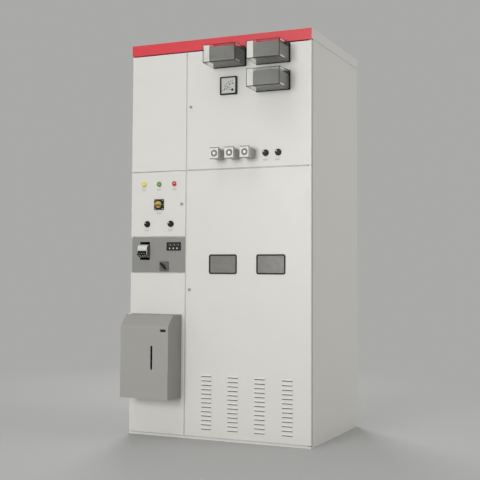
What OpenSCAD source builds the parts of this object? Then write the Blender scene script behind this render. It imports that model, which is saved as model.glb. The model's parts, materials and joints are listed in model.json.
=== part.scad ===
// Fixed metal-enclosed switchgear cubicle: a free-standing folded-sheet cabinet with
// a red header, a narrow control column on the left and a wide door column on the right.
// The front looks along -Y, +Z is up and the origin is the middle of the footprint on the floor.

/* [Cabinet] */
// Width over the side panels
cabinet_w = 1300; // [1150:1:1600]
// Depth from the door fronts to the back panels
cabinet_d = 1000; // [800:1:1500]
// Height from the floor to the top of the roof
cabinet_h = 2650; // [2450:1:2900]
// Thickness of the folded steel sheet
sheet = 2.5; // [1.5:0.1:3]
// Outer radius of the folds round doors and panels
bend_r = 4; // [3.5:0.5:6]
// Side of the square frame posts and rails
post = 40; // [30:1:50]
// Height of the base rails
base_h = 60; // [40:1:100]
// Height of the sill under the doors
sill_h = 12; // [8:1:30]
// Radius of the four anchor holes in the base
anchor_r = 7; // [5:0.5:10]
// Side of the square anchor plates
anchor_plate = 80; // [50:1:120]
// Thickness of the anchor plates
anchor_t = 6; // [4:0.5:12]
// Depth of the instrument compartment behind the frame
instrument_d = 400; // [250:1:600]

/* [Roof] */
// Height of the red header strip
header_h = 73; // [60:1:100]
// How far the header and the roof skirts stand out past the body
roof_overhang = 4; // [3:0.5:10]
// Height of the roof skirts at the sides and back
skirt_h = 68; // [40:1:90]

/* [Doors] */
// Width of the left column of doors and panels
left_column_w = 415; // [395:1:450]
// Height of the instrument door and of the panel beside it
instrument_h = 797; // [780:1:850]
// Height of the control door
control_h = 437; // [430:1:500]
// Height of the grey switch panel
switch_h = 235; // [225:1:260]
// Gap between neighbouring doors and panels
seam = 6; // [6:0.5:8]
// Depth of a folded door
door_d = 25; // [22:1:30]
// Gap behind a closed door
frame_gap = 8; // [8:0.5:12]
// How far the switch panel lies behind the doors
switch_recess = 4; // [0:0.5:8]
// Distance of a door's pivot from its edge
pivot_edge = 9; // [8:0.5:9]
// Distance of a door's pivot behind its face
pivot_depth = 9; // [8:0.5:10]
// Radius of the pivot pins
pin_r = 4; // [3:0.5:5]
// Length of pin inside a door
pin_reach = 12; // [8:1:20]
// Thickness of the pivot brackets
bracket_t = 4; // [3:0.5:4]
// Radial clearance of pins and shafts
shaft_clear = 0.06; // [0.03:0.01:0.1]
// Radius of the lock cylinders
lock_r = 10; // [8:0.5:14]
// How far the locks stand out
lock_out = 7; // [4:0.5:12]
// Distance of a lock from the free edge of its door
lock_inset = 28; // [22:1:40]
// Height of the instrument door's lock above the bottom of the door
instrument_lock_z = 423; // [300:1:500]
// Height of the main door's lock above the bottom of the door
main_lock_z = 958; // [700:1:1100]

/* [Main door] */
// Width of a window over its rubber frame
window_w = 200; // [150:1:240]
// Height of a window over its rubber frame
window_h = 129; // [90:1:160]
// Distance between the middles of the windows
window_pitch = 337; // [300:1:380]
// Height of the windows above the bottom of the door
window_z = 1127; // [900:1:1300]
// Width of the rubber frame's front lip
gasket_lip = 9; // [7:0.5:14]
// Corner radius of the windows
window_corner = 14; // [12:0.5:20]
// Thickness of the window panes
pane_t = 4; // [3:0.5:6]
// Width of a louvre
louvre_w = 76; // [50:1:110]
// Height of a louvre's hood
louvre_h = 10; // [8:0.5:14]
// How far a louvre's hood stands out
louvre_out = 5; // [4:0.5:8]
// Height of the open slot below a louvre's hood
louvre_slot = 4.5; // [3:0.5:8]
// Number of louvre columns
louvre_columns = 4; // [2:1:4]
// Number of louvre rows
louvre_rows = 13; // [6:1:16]
// Distance between louvre columns
louvre_pitch_x = 188; // [150:1:200]
// Distance between louvre rows
louvre_pitch_z = 28.4; // [22:0.1:34]
// Height of the lowest louvre above the bottom of the door
louvre_z = 55; // [40:1:90]

/* [Instrument door] */
// Width of a protection relay at the door
relay_w = 236; // [200:1:250]
// Height of a protection relay at the door
relay_h = 126; // [100:1:130]
// How far a protection relay stands out
relay_d = 180; // [120:1:200]
// Draft of the clear relay covers on each side
relay_draft = 3; // [1:0.5:8]
// Wall of the clear relay covers
relay_wall = 2.5; // [2:0.1:4]
// Thickness of the relay base plates
relay_base_t = 9; // [5:0.5:15]
// Distance of the left relay's middle from the left edge of the door
relay_left_x = 314; // [300:1:330]
// Distance of the right relays' middle from the left edge of the door
relay_right_x = 620; // [600:1:660]
// Width of the clear strip beside the case in a relay's cover
relay_clear_strip = 42; // [30:1:60]
// Distance of the upper relays from the top of the door
relay_top_gap = 4; // [2:0.5:12]
// Gap between the upper and the lower relay
relay_row_gap = 53; // [40:1:80]
// Side of the square panel meter
meter_w = 120; // [96:1:130]
// How far the panel meter stands out
meter_out = 16; // [10:0.5:25]
// Distance of the meter's middle from the left edge of the door
meter_x = 308; // [200:1:330]
// Distance of the meter from the top of the door
meter_top_gap = 191; // [170:1:240]
// Width of a signal relay
signal_w = 68; // [50:1:80]
// Height of a signal relay
signal_h = 76; // [60:1:90]
// How far a signal relay stands out
signal_d = 105; // [60:1:120]
// Distance between the signal relays
signal_pitch = 107; // [90:1:115]
// Distance of the middle signal relay from the left edge of the door
signal_x = 358; // [320:1:370]
// Height of the signal relays and upper selectors above the bottom of the door
signal_z = 90; // [80:1:140]
// Distance between the upper selectors
upper_selector_pitch = 87; // [70:1:100]
// Distance of the upper selectors' middle from the left edge of the door
upper_selector_x = 613; // [560:1:700]

/* [Control door] */
// Distance of the controls' middle from the left edge of the door
control_x = 216; // [205:1:225]
// Distance between the lamps
lamp_pitch = 116; // [80:1:120]
// Height of the lamps above the bottom of the door
lamp_z = 354; // [330:1:380]
// Radius of a lamp's bezel
lamp_r = 17; // [13:0.5:20]
// How far a lamp's lens stands out
lamp_out = 18; // [12:0.5:26]
// Side of the cam switch's square plate
cam_plate = 72; // [60:1:90]
// Thickness of the cam switch's plate
cam_plate_t = 8; // [5:0.5:12]
// Height of the cam switch above the bottom of the door
cam_z = 216; // [200:1:240]
// Radius of the cam switch's knob
cam_knob_r = 23; // [18:0.5:28]
// Distance between the lower selectors
lower_selector_pitch = 179; // [140:1:190]
// Height of the lower selectors above the bottom of the door
lower_selector_z = 84; // [60:1:110]

/* [Selectors] */
// Radius of a selector's bezel
selector_r = 22; // [17:0.5:24]
// Thickness of a selector's bezel
selector_bezel_t = 6; // [4:0.5:10]
// How far a selector's knob stands out
selector_out = 19; // [17:0.5:30]
// Radius of the switch shafts
shaft_r = 4; // [3:0.5:5]
// Running gap between a knob and its bezel
knob_gap = 1; // [0.5:0.1:2]

/* [Switch panel] */
// Number of poles of the miniature breaker
breaker_poles = 4; // [1:1:4]
// Width of one breaker pole
pole_w = 18; // [17:0.5:19]
// Height of the miniature breaker
breaker_h = 86; // [80:1:95]
// How far the breaker's nose stands out of the panel
breaker_out = 40; // [30:1:46]
// Distance of the breaker's middle from the left edge of the cabinet
breaker_x = 107; // [90:1:120]
// Height of the breaker's middle above the bottom of the panel
breaker_z = 144; // [110:1:150]
// Clearance above and below the breaker in its cut-out
breaker_gap = 18; // [6:1:20]
// Clearance beside the breaker in its cut-out
breaker_side_gap = 2; // [1:0.5:6]
// Width of the voltage indicator
indicator_w = 105; // [80:1:120]
// Height of the voltage indicator
indicator_h = 56; // [40:1:64]
// How far the voltage indicator stands out
indicator_out = 7; // [4:0.5:12]
// Distance of the voltage indicator's middle from the left edge of the cabinet
indicator_x = 328; // [300:1:340]
// Height of the voltage indicator's middle above the bottom of the panel
indicator_z = 174; // [160:1:190]
// Side of the grey selector's plate
handle_plate = 65; // [50:1:75]
// Thickness of the grey selector's plate
handle_plate_t = 9; // [5:0.5:14]
// Length of the selector's handle
handle_l = 56; // [40:1:60]
// Distance of the grey selector's middle from the left edge of the cabinet
handle_x = 257; // [240:1:300]
// Height of the grey selector's middle above the bottom of the panel
handle_z = 41; // [40:1:60]

/* [Mechanism cover] */
// Width of the mechanism cover
cover_w = 353; // [300:1:360]
// Height of the mechanism cover
cover_h = 545; // [480:1:620]
// How far the mechanism cover stands out
cover_d = 190; // [140:1:220]
// Height and depth of its sloping top edge
cover_slope = 72; // [40:1:90]
// Radius of the bends above and below the slope
cover_bend_r = 30; // [10:1:50]
// Distance of the cover from the left edge of the cabinet
cover_x = 39; // [30:1:50]
// Height of the cover above the floor
cover_z = 266; // [180:1:300]
// Width of the lever slot
slot_w = 14; // [10:0.5:20]
// Length of the lever slot
slot_l = 155; // [100:1:200]
// Distance of the slot from the left edge of the cover
slot_x = 232; // [180:1:280]
// Height of the slot's middle above the bottom of the cover
slot_z = 268; // [200:1:300]
// Width of the counter's window
counter_w = 40; // [30:1:60]
// Height of the counter's window
counter_h = 17; // [12:0.5:24]
// Distance of the counter's middle from the left edge of the cover
counter_x = 315; // [280:1:320]
// Clear height between the counter's rim and the bend of the cover above it
counter_drop = 1; // [0.5:0.5:40]

/* [Hidden] */
$fn = 48;
eps = 0.01;

x_left = -cabinet_w / 2;
x_right = cabinet_w / 2;
y_front = -cabinet_d / 2;
y_back = cabinet_d / 2;
y_frame = y_front + door_d + frame_gap;
frame_side = x_right - sheet;
frame_back = y_back - sheet;
roof_z = cabinet_h - sheet;
floor_z = base_h + sheet;

// Heights of the doors and panels, from the top down
header_z = cabinet_h - header_h;
instrument_z = header_z - seam - instrument_h;
middle_z = instrument_z - seam;
control_z = middle_z - control_h;
switch_z = control_z - seam - switch_h;
door_foot_z = sill_h + seam;
main_h = middle_z - door_foot_z;
lower_panel_h = switch_z - seam - door_foot_z;
middle_rail_z = middle_z + seam / 2 - post / 2;

// The two columns and the post between them
left_x = x_left;
door_top_z = instrument_z + instrument_h;
relay_upper_z = door_top_z - relay_top_gap - relay_h / 2;
relay_lower_z = relay_upper_z - relay_h - relay_row_gap;
right_x = x_left + left_column_w + seam;
right_column_w = x_right - right_x;
split_x = right_x - seam / 2;
y_switch = y_front + switch_recess;

// Pivots
right_pivot_x = x_right - pivot_edge;
left_pivot_x = x_left + pivot_edge;
pivot_y = y_front + pivot_depth;
pivot_block_h = pin_reach + 8;
pin_air = 2;
bracket_w = 2 * pivot_edge - pin_air;
bracket_air = (seam - bracket_t) / 2;

// Places of the fittings on the front
relay_places = [
    [right_x + relay_left_x, relay_upper_z],
    [right_x + relay_right_x, relay_upper_z],
    [right_x + relay_right_x, relay_lower_z]
];
meter_place = [right_x + meter_x, door_top_z - meter_top_gap - meter_w / 2];
signal_places = [for (i = [-1:1]) [right_x + signal_x + i * signal_pitch, instrument_z + signal_z]];
upper_selector_places = [
    for (i = [-1:2:1]) [right_x + upper_selector_x + i * upper_selector_pitch / 2, instrument_z + signal_z]
];
lamp_places = [for (i = [-1:1]) [left_x + control_x + i * lamp_pitch, control_z + lamp_z]];
cam_place = [left_x + control_x, control_z + cam_z];
lower_selector_places = [
    for (i = [-1:2:1]) [left_x + control_x + i * lower_selector_pitch / 2, control_z + lower_selector_z]
];
window_places = [
    for (i = [-1:2:1]) [right_x + right_column_w / 2 + i * window_pitch / 2, door_foot_z + window_z]
];
breaker_place = [left_x + breaker_x, switch_z + breaker_z];
indicator_place = [left_x + indicator_x, switch_z + indicator_z];
handle_place = [left_x + handle_x, switch_z + handle_z];

// Switch panel and miniature breaker
breaker_w = breaker_poles * pole_w;
rail_t = 8;
rail_h = 35;
breaker_back = y_frame - rail_t - y_switch;
toggle_axis_out = breaker_out - 4;
toggle_r = 9;
toggle_air = 0.5;
toggle_axle_r = 2;
toggle_cheek = 3;
toggle_reach = 28;
toggle_rest = -50;
toggle_drop = 8;
toggle_t = 4;
lever_w = pole_w * 0.55;
shoulder_foot = 6;
shoulder_top = 21;
shoulder_steps = 6;
nose_h = 38;
nose_step = 2;
groove_w = 1.2;
groove_d = 1.5;
indicator_corner = 4;
socket_pitch = 28;
socket_r = 5;
socket_d = 2;
socket_drop = 13;
plate_corner = 5;
handle_w = 11;
handle_t = 18;
handle_hub_t = 8;
handle_corner = 3;
handle_angle = -45;

// Window rubbers and relay insides
gasket_t = 4;
gasket_bite = 5;
relay_rim = 2;
relay_case_gap = 1;
relay_case_drop = 13;
relay_case_corner = 18;
base_corner = 4;
meter_rim = 9;
meter_corner = 6;
meter_inner_corner = 3;
meter_fit = 0.2;
glass_t = 2;
glass_recess = 1;
dial_t = 1.5;
signal_front_t = 18;
signal_front_corner = 8;
signal_step = 6;
signal_cut = 12;
ring_outer_r = signal_w * 0.33;
ring_inner_r = signal_w * 0.22;
ring_d = 4;

// Lamps, selectors and cam switch
bezel_t = 8;
bezel_side = 5;
bezel_chamfer = 2;
bezel_seat = 4;
bezel_wall = 3;
lens_fit = 0.3;
lens_side = 8;
lens_steps = 9;
knob_step = 3;
knob_disc_t = 6;
grip_w = 11;
grip_corner = 3;
grip_rest = 45;
bezel_step = 2;
cam_boss_t = 3;
cam_boss_rim = 5;
cam_disc_t = 8;
cam_grip_t = 14;
cam_grip_w = 16;
cam_tip = 5;
cam_neck = 0.7;
shaft_bite = 2;
shaft_air = 0.5;

// Locks
lock_step = 2;
lock_nose_r = lock_r * 0.8;
key_w = 2.4;

// Necks through the door sheets and bodies behind them
panel_fit = 0.2;
lock_neck_r = 8;
lock_nut_r = 13;
lock_nut_t = 6;
lamp_neck_r = 11;
lamp_barrel_r = 13;
lamp_barrel_d = 36;
selector_neck_r = 11;
selector_block = [30, 40, 40];
cam_neck_r = 12;
cam_block = [56, 56, 52];
meter_barrel_r = 44;
meter_barrel_d = 44;

// Louvre hoods, cover bends and gaps between sheets
hood_wall = 1.5;
hood_steps = 3;
cover_bend_steps = 6;
counter_rim = 6;
counter_t = 20;
counter_recess = 0.8;
rail_gap = 0.5;
back_seam = 3;
sill_recess = 2;
rubber_fit = 0.2;

// Colours
body_grey = [0.82, 0.82, 0.80];
trim_red = [0.85, 0.28, 0.31];
panel_grey = [0.54, 0.53, 0.52];
cover_grey = [0.61, 0.60, 0.58];
black = [0.08, 0.08, 0.08];
pale = [0.90, 0.90, 0.88];
glass_grey = [0.50, 0.49, 0.46];
steel = [0.70, 0.70, 0.70];

// A box given by two opposite corners
module block(low, high) {
    translate(low) cube(high - low);
}

// A fitting drawn in the plane of the front, with its height pointing out of it
module on_face(place, y = y_front) {
    translate([place[0], y, place[1]]) rotate([90, 0, 0]) children();
}

module rounded_rect(w, h, r) {
    square([w - 2 * r, h], center = true);
    square([w, h - 2 * r], center = true);
    for (sx = [-1:2:1], sy = [-1:2:1])
        translate([sx * (w / 2 - r), sy * (h / 2 - r)]) circle(r);
}

module rounded_plate(w, h, r, t) {
    linear_extrude(t) rounded_rect(w, h, r);
}

// Outline of a strip bent backwards at both ends
module bent_strip(w, depth, r) {
    translate([0, r]) square([w, depth - r]);
    translate([r, 0]) square([w - 2 * r, 2 * r]);
    for (x = [r, w - r])
        translate([x, r]) circle(r);
}

// A block whose four front edges are bent round, mitred at its corners
module bent_block(w, depth, h, r) {
    intersection() {
        linear_extrude(h) bent_strip(w, depth, r);
        translate([w, 0, 0]) rotate([0, -90, 0]) linear_extrude(w) bent_strip(h, depth, r);
    }
}

// A folded pan, open at the back
module pan(x, y, z, w, h, depth) {
    translate([x, y, z]) difference() {
        bent_block(w, depth, h, bend_r);
        translate([sheet, sheet, sheet]) bent_block(w - 2 * sheet, depth, h - 2 * sheet, bend_r - sheet);
    }
}

// What a fitting has in and behind the door sheet it sits on
module neck(r) {
    translate([0, 0, -sheet - eps]) cylinder(r = r, h = sheet + 2 * eps);
}

module rear_barrel(r, d) {
    translate([0, 0, -sheet - d]) cylinder(r = r, h = d);
}

module rear_block(size) {
    translate([-size[0] / 2, -size[1] / 2, -sheet - size[2]]) cube(size);
}

// Round holes in the door sheet for the necks
module cut_outs(places, r) {
    for (place = places)
        on_face(place, y_front + sheet + eps) cylinder(r = r + panel_fit, h = sheet + 2 * eps);
}

// A folded door with bored pivot blocks in its two hinge corners
module hinged_pan(x, z, w, h, pivot_x) {
    difference() {
        union() {
            pan(x, y_front, z, w, h, door_d);
            for (foot = [z, z + h - pivot_block_h])
                block([pivot_x - pivot_edge + sheet, y_front + sheet, foot + sheet / 2],
                      [pivot_x + pivot_edge - sheet, y_front + door_d, foot + pivot_block_h - sheet / 2]);
        }
        for (foot = [z - eps, z + h - pin_reach - pin_air])
            translate([pivot_x, pivot_y, foot])
                cylinder(r = pin_r + shaft_clear, h = pin_reach + pin_air + eps);
    }
}

module lock_cylinder(place) {
    on_face(place) difference() {
        union() {
            cylinder(r = lock_r, h = lock_out - lock_step);
            cylinder(r = lock_nose_r, h = lock_out);
            neck(lock_neck_r);
            rear_barrel(lock_nut_r, lock_nut_t);
        }
        translate([-key_w / 2, -lock_r / 2, lock_out - lock_step]) cube([key_w, lock_r, 2 * lock_step]);
    }
}

// Cabinet frame and skin
module base_rails() {
    color(body_grey) {
        block([-frame_side, y_frame, 0], [frame_side, y_frame + post, base_h]);
        block([-frame_side, frame_back - post, 0], [frame_side, frame_back, base_h]);
        for (side = [-1:2:1])
            translate([side * (frame_side - post / 2), 0, 0])
                block([-post / 2, y_frame + post + rail_gap, 0],
                      [post / 2, frame_back - post - rail_gap, base_h]);
    }
}

anchor_x = frame_side - post - anchor_plate / 2;
anchor_y = -(y_frame + post + anchor_plate / 2);

module anchor_plates() {
    color(body_grey) for (sx = [-1:2:1], sy = [-1:2:1])
        translate([sx * anchor_x, sy * anchor_y, 0]) difference() {
            translate([-anchor_plate / 2, -anchor_plate / 2, 0])
                cube([anchor_plate, anchor_plate, anchor_t]);
            translate([0, 0, -eps]) cylinder(r = anchor_r, h = anchor_t + 2 * eps);
        }
}

module floor_plate() {
    color(body_grey) block([-frame_side, y_frame, base_h], [frame_side, frame_back, floor_z]);
}

module side_panels() {
    color(body_grey) {
        block([x_left, y_frame, 0], [x_left + sheet, y_back, roof_z]);
        block([x_right - sheet, y_frame, 0], [x_right, y_back, roof_z]);
    }
}

module back_panels() {
    color(body_grey) {
        block([-frame_side, frame_back, 0], [frame_side, y_back, middle_z]);
        block([-frame_side, frame_back, middle_z + back_seam], [frame_side, y_back, roof_z]);
    }
}

module roof_cap() {
    reach = x_right + roof_overhang;
    rear = y_back + roof_overhang;
    front = y_front - roof_overhang + sheet;
    color(body_grey) difference() {
        block([-reach, front, cabinet_h - skirt_h], [reach, rear, cabinet_h]);
        block([-x_right, front - eps, cabinet_h - skirt_h - eps], [x_right, y_back, roof_z]);
    }
}

module header_strip() {
    reach = x_right + roof_overhang;
    front = y_front - roof_overhang;
    color(trim_red) union() {
        block([-reach, front, header_z], [reach, front + sheet, cabinet_h]);
        block([-x_right, front, header_z], [x_right, y_frame, header_z + sheet]);
    }
}

module front_sill() {
    color(body_grey) block([x_left, y_front + sill_recess, 0], [x_right, y_frame, sill_h]);
}

module frame_posts() {
    color(body_grey) {
        for (x = [-frame_side, split_x - post / 2, frame_side - post])
            block([x, y_frame, floor_z], [x + post, y_frame + post, roof_z]);
        for (x = [-frame_side, frame_side - post])
            block([x, frame_back - post, floor_z], [x + post, frame_back, roof_z]);
    }
}

module front_rails() {
    left_span = [-frame_side + post, split_x - post / 2];
    right_span = [split_x + post / 2, frame_side - post];
    below_seam = (seam + post) / 2;
    left_heights = [header_z, middle_rail_z, control_z - below_seam, switch_z - below_seam];
    color(body_grey) {
        for (z = left_heights)
            block([left_span[0], y_frame, z], [left_span[1], y_frame + post, z + post]);
        for (z = [header_z, middle_rail_z])
            block([right_span[0], y_frame, z], [right_span[1], y_frame + post, z + post]);
    }
}

module column_partition() {
    color(body_grey)
        block([split_x - sheet / 2, y_frame + post, floor_z], [split_x + sheet / 2, frame_back, roof_z]);
}

shelf_z = middle_rail_z + post - sheet;

module instrument_shelf() {
    color(body_grey)
        block([split_x + sheet / 2, y_frame + post, shelf_z],
              [frame_side, y_frame + instrument_d, shelf_z + sheet]);
}

module instrument_back_wall() {
    back = y_frame + instrument_d;
    color(body_grey)
        block([split_x + sheet / 2, back - sheet, shelf_z + sheet], [frame_side, back, roof_z]);
}

// Fixed front panels
module upper_left_panel() {
    color(body_grey) pan(left_x, y_front, instrument_z, left_column_w, instrument_h, y_frame - y_front);
}

module switch_panel() {
    cut_w = breaker_w + 2 * breaker_side_gap;
    cut_h = breaker_h + 2 * breaker_gap;
    color(panel_grey) difference() {
        pan(left_x + seam, y_switch, switch_z, left_column_w - seam, switch_h, y_frame - y_switch);
        on_face(breaker_place, y_switch + sheet + eps)
            translate([-cut_w / 2, -cut_h / 2, 0]) cube([cut_w, cut_h, sheet + 2 * eps]);
    }
}

module lower_left_panel() {
    color(body_grey) pan(left_x, y_front, door_foot_z, left_column_w, lower_panel_h, y_frame - y_front);
}

// Outline of the mechanism cover seen from its side: distance out of the panel, height
cover_tangent = cover_bend_r * tan(45 / 2);
counter_z = cover_h - cover_slope - cover_tangent - counter_drop - counter_rim - counter_h / 2;
function cover_arc(centre, from, inset) = [
    for (i = [0:cover_bend_steps])
        let (a = from + 45 * i / cover_bend_steps)
        centre + (cover_bend_r - inset) * [cos(a), sin(a)]
];
function cover_outline(inset) = concat(
    [[0, inset], [cover_d - inset, inset]],
    cover_arc([cover_d - cover_bend_r, cover_h - cover_slope - cover_tangent], 0, inset),
    cover_arc([cover_d - cover_slope - cover_tangent, cover_h - cover_bend_r], 45, inset),
    [[0, cover_h - inset]]
);

module cover_solid(inset) {
    translate([inset, 0, 0]) rotate([90, 0, 90])
        linear_extrude(cover_w - 2 * inset) polygon([for (p = cover_outline(inset)) [-p[0], p[1]]]);
}

module mechanism_cover() {
    color(cover_grey) translate([left_x + cover_x, y_front, cover_z]) difference() {
        cover_solid(0);
        translate([0, eps, 0]) cover_solid(sheet);
        translate([slot_x, sheet - cover_d + eps, slot_z]) rotate([90, 0, 0])
            linear_extrude(sheet + 2 * eps) {
                square([slot_w, slot_l - slot_w], center = true);
                for (side = [-1:2:1])
                    translate([0, side * (slot_l - slot_w) / 2]) circle(slot_w / 2);
            }
        translate([counter_x, -cover_d, counter_z])
            block([-counter_w / 2, -eps, -counter_h / 2], [counter_w / 2, sheet + eps, counter_h / 2]);
    }
}

// The operation counter behind its window in the cover
module cover_counter() {
    w = counter_w / 2 + counter_rim;
    h = counter_h / 2 + counter_rim;
    face_w = counter_w / 2 - panel_fit;
    face_h = counter_h / 2 - panel_fit;
    color(black) translate([left_x + cover_x + counter_x, y_front - cover_d, cover_z + counter_z]) {
        block([-w, sheet, -h], [w, sheet + counter_t, h]);
        block([-face_w, counter_recess, -face_h], [face_w, sheet + eps, face_h]);
    }
}

// A bracket in a seam, with pins up into the door above or down into the door below
module pivot_bracket(x, z, up, down) {
    foot = z + bracket_air;
    pin_l = bracket_t / 2 + bracket_air + pin_reach;
    translate([x, pivot_y, foot]) cylinder(r = bracket_w / 2, h = bracket_t);
    block([x - bracket_w / 2, pivot_y, foot], [x + bracket_w / 2, y_frame, foot + bracket_t]);
    if (up) translate([x, pivot_y, foot + bracket_t / 2]) cylinder(r = pin_r, h = pin_l);
    if (down) translate([x, pivot_y, foot + bracket_t / 2 - pin_l]) cylinder(r = pin_r, h = pin_l);
}

module door_pivots() {
    color(steel) {
        pivot_bracket(right_pivot_x, sill_h, true, false);
        pivot_bracket(right_pivot_x, middle_z, true, true);
        pivot_bracket(right_pivot_x, header_z - seam, false, true);
        pivot_bracket(left_pivot_x, middle_z, false, true);
        pivot_bracket(left_pivot_x, control_z - seam, true, false);
    }
}

// Fittings of the switch panel
module voltage_indicator() {
    color(black) on_face(indicator_place, y_switch) difference() {
        rounded_plate(indicator_w, indicator_h, indicator_corner, indicator_out);
        for (i = [-1:1])
            translate([i * socket_pitch, -socket_drop, indicator_out - socket_d])
                cylinder(r = socket_r, h = socket_d + eps);
    }
}

module breaker_rail() {
    rail_z = breaker_place[1] - rail_h / 2;
    inner_left = left_x + seam + sheet;
    inner_right = left_x + left_column_w - sheet;
    color(steel) block([inner_left, y_frame - rail_t, rail_z], [inner_right, y_frame, rail_z + rail_h]);
}

// Side outline of the breaker: distance out of the panel, height from its middle
function shoulder(side, inset) = [
    for (i = [0:shoulder_steps])
        let (a = 90 * i / shoulder_steps)
        [
            shoulder_foot + (breaker_out - shoulder_foot - nose_step - inset) * sin(a),
            side * (breaker_h / 2 - inset - (breaker_h / 2 - shoulder_top) * (1 - cos(a)))
        ]
];
function breaker_outline(inset) = concat(
    [[-breaker_back, inset - breaker_h / 2]],
    shoulder(-1, inset),
    [[breaker_out - inset, -nose_h / 2], [breaker_out - inset, nose_h / 2]],
    [for (i = [shoulder_steps:-1:0]) shoulder(1, inset)[i]],
    [[-breaker_back, breaker_h / 2 - inset]]
);

module breaker_slice(x, w, inset) {
    translate([x, 0, 0]) rotate([90, 0, 90]) linear_extrude(w)
        polygon([for (p = breaker_outline(inset)) [p[1], p[0]]]);
}

// Cylinder along the breaker's width, about the toggles' axis
module toggle_bar(r, l) {
    translate([0, -toggle_drop, toggle_axis_out]) rotate([0, 90, 0]) cylinder(r = r, h = l, center = true);
}

module miniature_breaker() {
    color(pale) on_face(breaker_place, y_switch) difference() {
        union() {
            breaker_slice(-breaker_w / 2, breaker_w, groove_d);
            for (i = [0:breaker_poles - 1])
                breaker_slice(-breaker_w / 2 + i * pole_w + groove_w / 2, pole_w - groove_w, 0);
        }
        toggle_bar(toggle_r + toggle_air, breaker_w - 2 * toggle_cheek);
        toggle_bar(toggle_axle_r + shaft_clear, breaker_w + 2 * eps);
    }
}

module breaker_toggle() {
    color(black) on_face(breaker_place, y_switch) {
        toggle_bar(toggle_r, breaker_w - 2 * toggle_cheek - 2 * toggle_air);
        toggle_bar(toggle_axle_r, breaker_w - 2 * groove_w);
        for (i = [0:breaker_poles - 1])
            translate([(i - (breaker_poles - 1) / 2) * pole_w, -toggle_drop, toggle_axis_out])
                rotate([-toggle_rest, 0, 0])
                    translate([-lever_w / 2, -toggle_t / 2, 0]) cube([lever_w, toggle_t, toggle_reach]);
    }
}

module handle_plate() {
    color(panel_grey) on_face(handle_place, y_switch) difference() {
        rounded_plate(handle_plate, handle_plate, plate_corner, handle_plate_t);
        translate([0, 0, -eps]) cylinder(r = shaft_r + shaft_clear, h = handle_plate_t + 2 * eps);
    }
}

module selector_handle() {
    color(black) on_face(handle_place, y_switch) {
        cylinder(r = shaft_r, h = handle_plate_t + knob_gap + shaft_bite);
        translate([0, 0, handle_plate_t + knob_gap]) {
            cylinder(r = handle_w, h = handle_hub_t);
            rotate([0, 0, handle_angle]) rounded_plate(handle_l, handle_w, handle_corner, handle_t);
        }
    }
}

// Instrument door
instrument_lock_place = [right_x + lock_inset, instrument_z + instrument_lock_z];

module instrument_door() {
    color(body_grey) difference() {
        hinged_pan(right_x, instrument_z, right_column_w, instrument_h, right_pivot_x);
        cut_outs([meter_place], meter_barrel_r);
        cut_outs(upper_selector_places, selector_neck_r);
        cut_outs([instrument_lock_place], lock_neck_r);
    }
}

module instrument_door_lock() {
    color(black) lock_cylinder(instrument_lock_place);
}

module relay_bases() {
    color(black) for (place = relay_places)
        on_face(place) rounded_plate(relay_w, relay_h, base_corner, relay_base_t);
}

// A case with two rounded upper corners, drawn from its lower left corner
module case_outline(w, h, r) {
    square([w, h - r]);
    translate([r, 0]) square([w - 2 * r, h]);
    for (x = [r, w - r])
        translate([x, h - r]) circle(r);
}

// The case fills its cover but for a clear strip on the left and some air at the top
module relay_cases() {
    half_w = relay_w / 2 - relay_rim - relay_wall - relay_draft - relay_case_gap;
    half_h = relay_h / 2 - relay_rim - relay_wall - relay_draft - relay_case_gap;
    case_d = relay_d - relay_base_t - relay_wall - relay_case_gap;
    color(panel_grey) for (place = relay_places)
        on_face(place) translate([relay_clear_strip - half_w, -half_h, relay_base_t]) linear_extrude(case_d)
            case_outline(2 * half_w - relay_clear_strip, 2 * half_h - relay_case_drop, relay_case_corner);
}

// A box that narrows towards the front
module drafted_box(w, h, d, draft) {
    hull() {
        translate([-w / 2, -h / 2, 0]) cube([w, h, eps]);
        translate([-w / 2 + draft, -h / 2 + draft, d - eps]) cube([w - 2 * draft, h - 2 * draft, eps]);
    }
}

module relay_covers() {
    cover_t = relay_d - relay_base_t;
    box_w = relay_w - 2 * relay_rim;
    box_h = relay_h - 2 * relay_rim;
    color(glass_grey, 0.4) for (place = relay_places)
        on_face(place) translate([0, 0, relay_base_t]) difference() {
            drafted_box(box_w, box_h, cover_t, relay_draft);
            translate([0, 0, -eps])
                drafted_box(box_w - 2 * relay_wall, box_h - 2 * relay_wall, cover_t - relay_wall, relay_draft);
        }
}

module meter_case() {
    color(black) on_face(meter_place) difference() {
        union() {
            rounded_plate(meter_w, meter_w, meter_corner, meter_out);
            neck(meter_barrel_r);
            rear_barrel(meter_barrel_r, meter_barrel_d);
        }
        translate([0, 0, meter_out / 2])
            rounded_plate(meter_w - 2 * meter_rim, meter_w - 2 * meter_rim, meter_inner_corner, meter_out);
    }
}

meter_inner = meter_w - 2 * meter_rim - 2 * meter_fit;

module meter_dial() {
    color(pale) on_face(meter_place) translate([0, 0, meter_out / 2])
        rounded_plate(meter_inner, meter_inner, meter_inner_corner - meter_fit, dial_t);
}

module meter_glass() {
    color(glass_grey, 0.3) on_face(meter_place) translate([0, 0, meter_out - glass_t - glass_recess])
        rounded_plate(meter_inner, meter_inner, meter_inner_corner - meter_fit, glass_t);
}

module signal_relay_bodies() {
    w = signal_w - signal_step;
    h = signal_h - signal_step;
    outline = [
        for (s = [[1, -1], [1, 1], [-1, 1], [-1, -1]], k = [0, 1])
            let (along = (s[0] * s[1] > 0) == (k == 0))
            [s[0] * (w / 2 - (along ? 0 : signal_cut)), s[1] * (h / 2 - (along ? signal_cut : 0))]
    ];
    color(panel_grey) for (place = signal_places)
        on_face(place) linear_extrude(signal_d - signal_front_t) polygon(outline);
}

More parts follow.
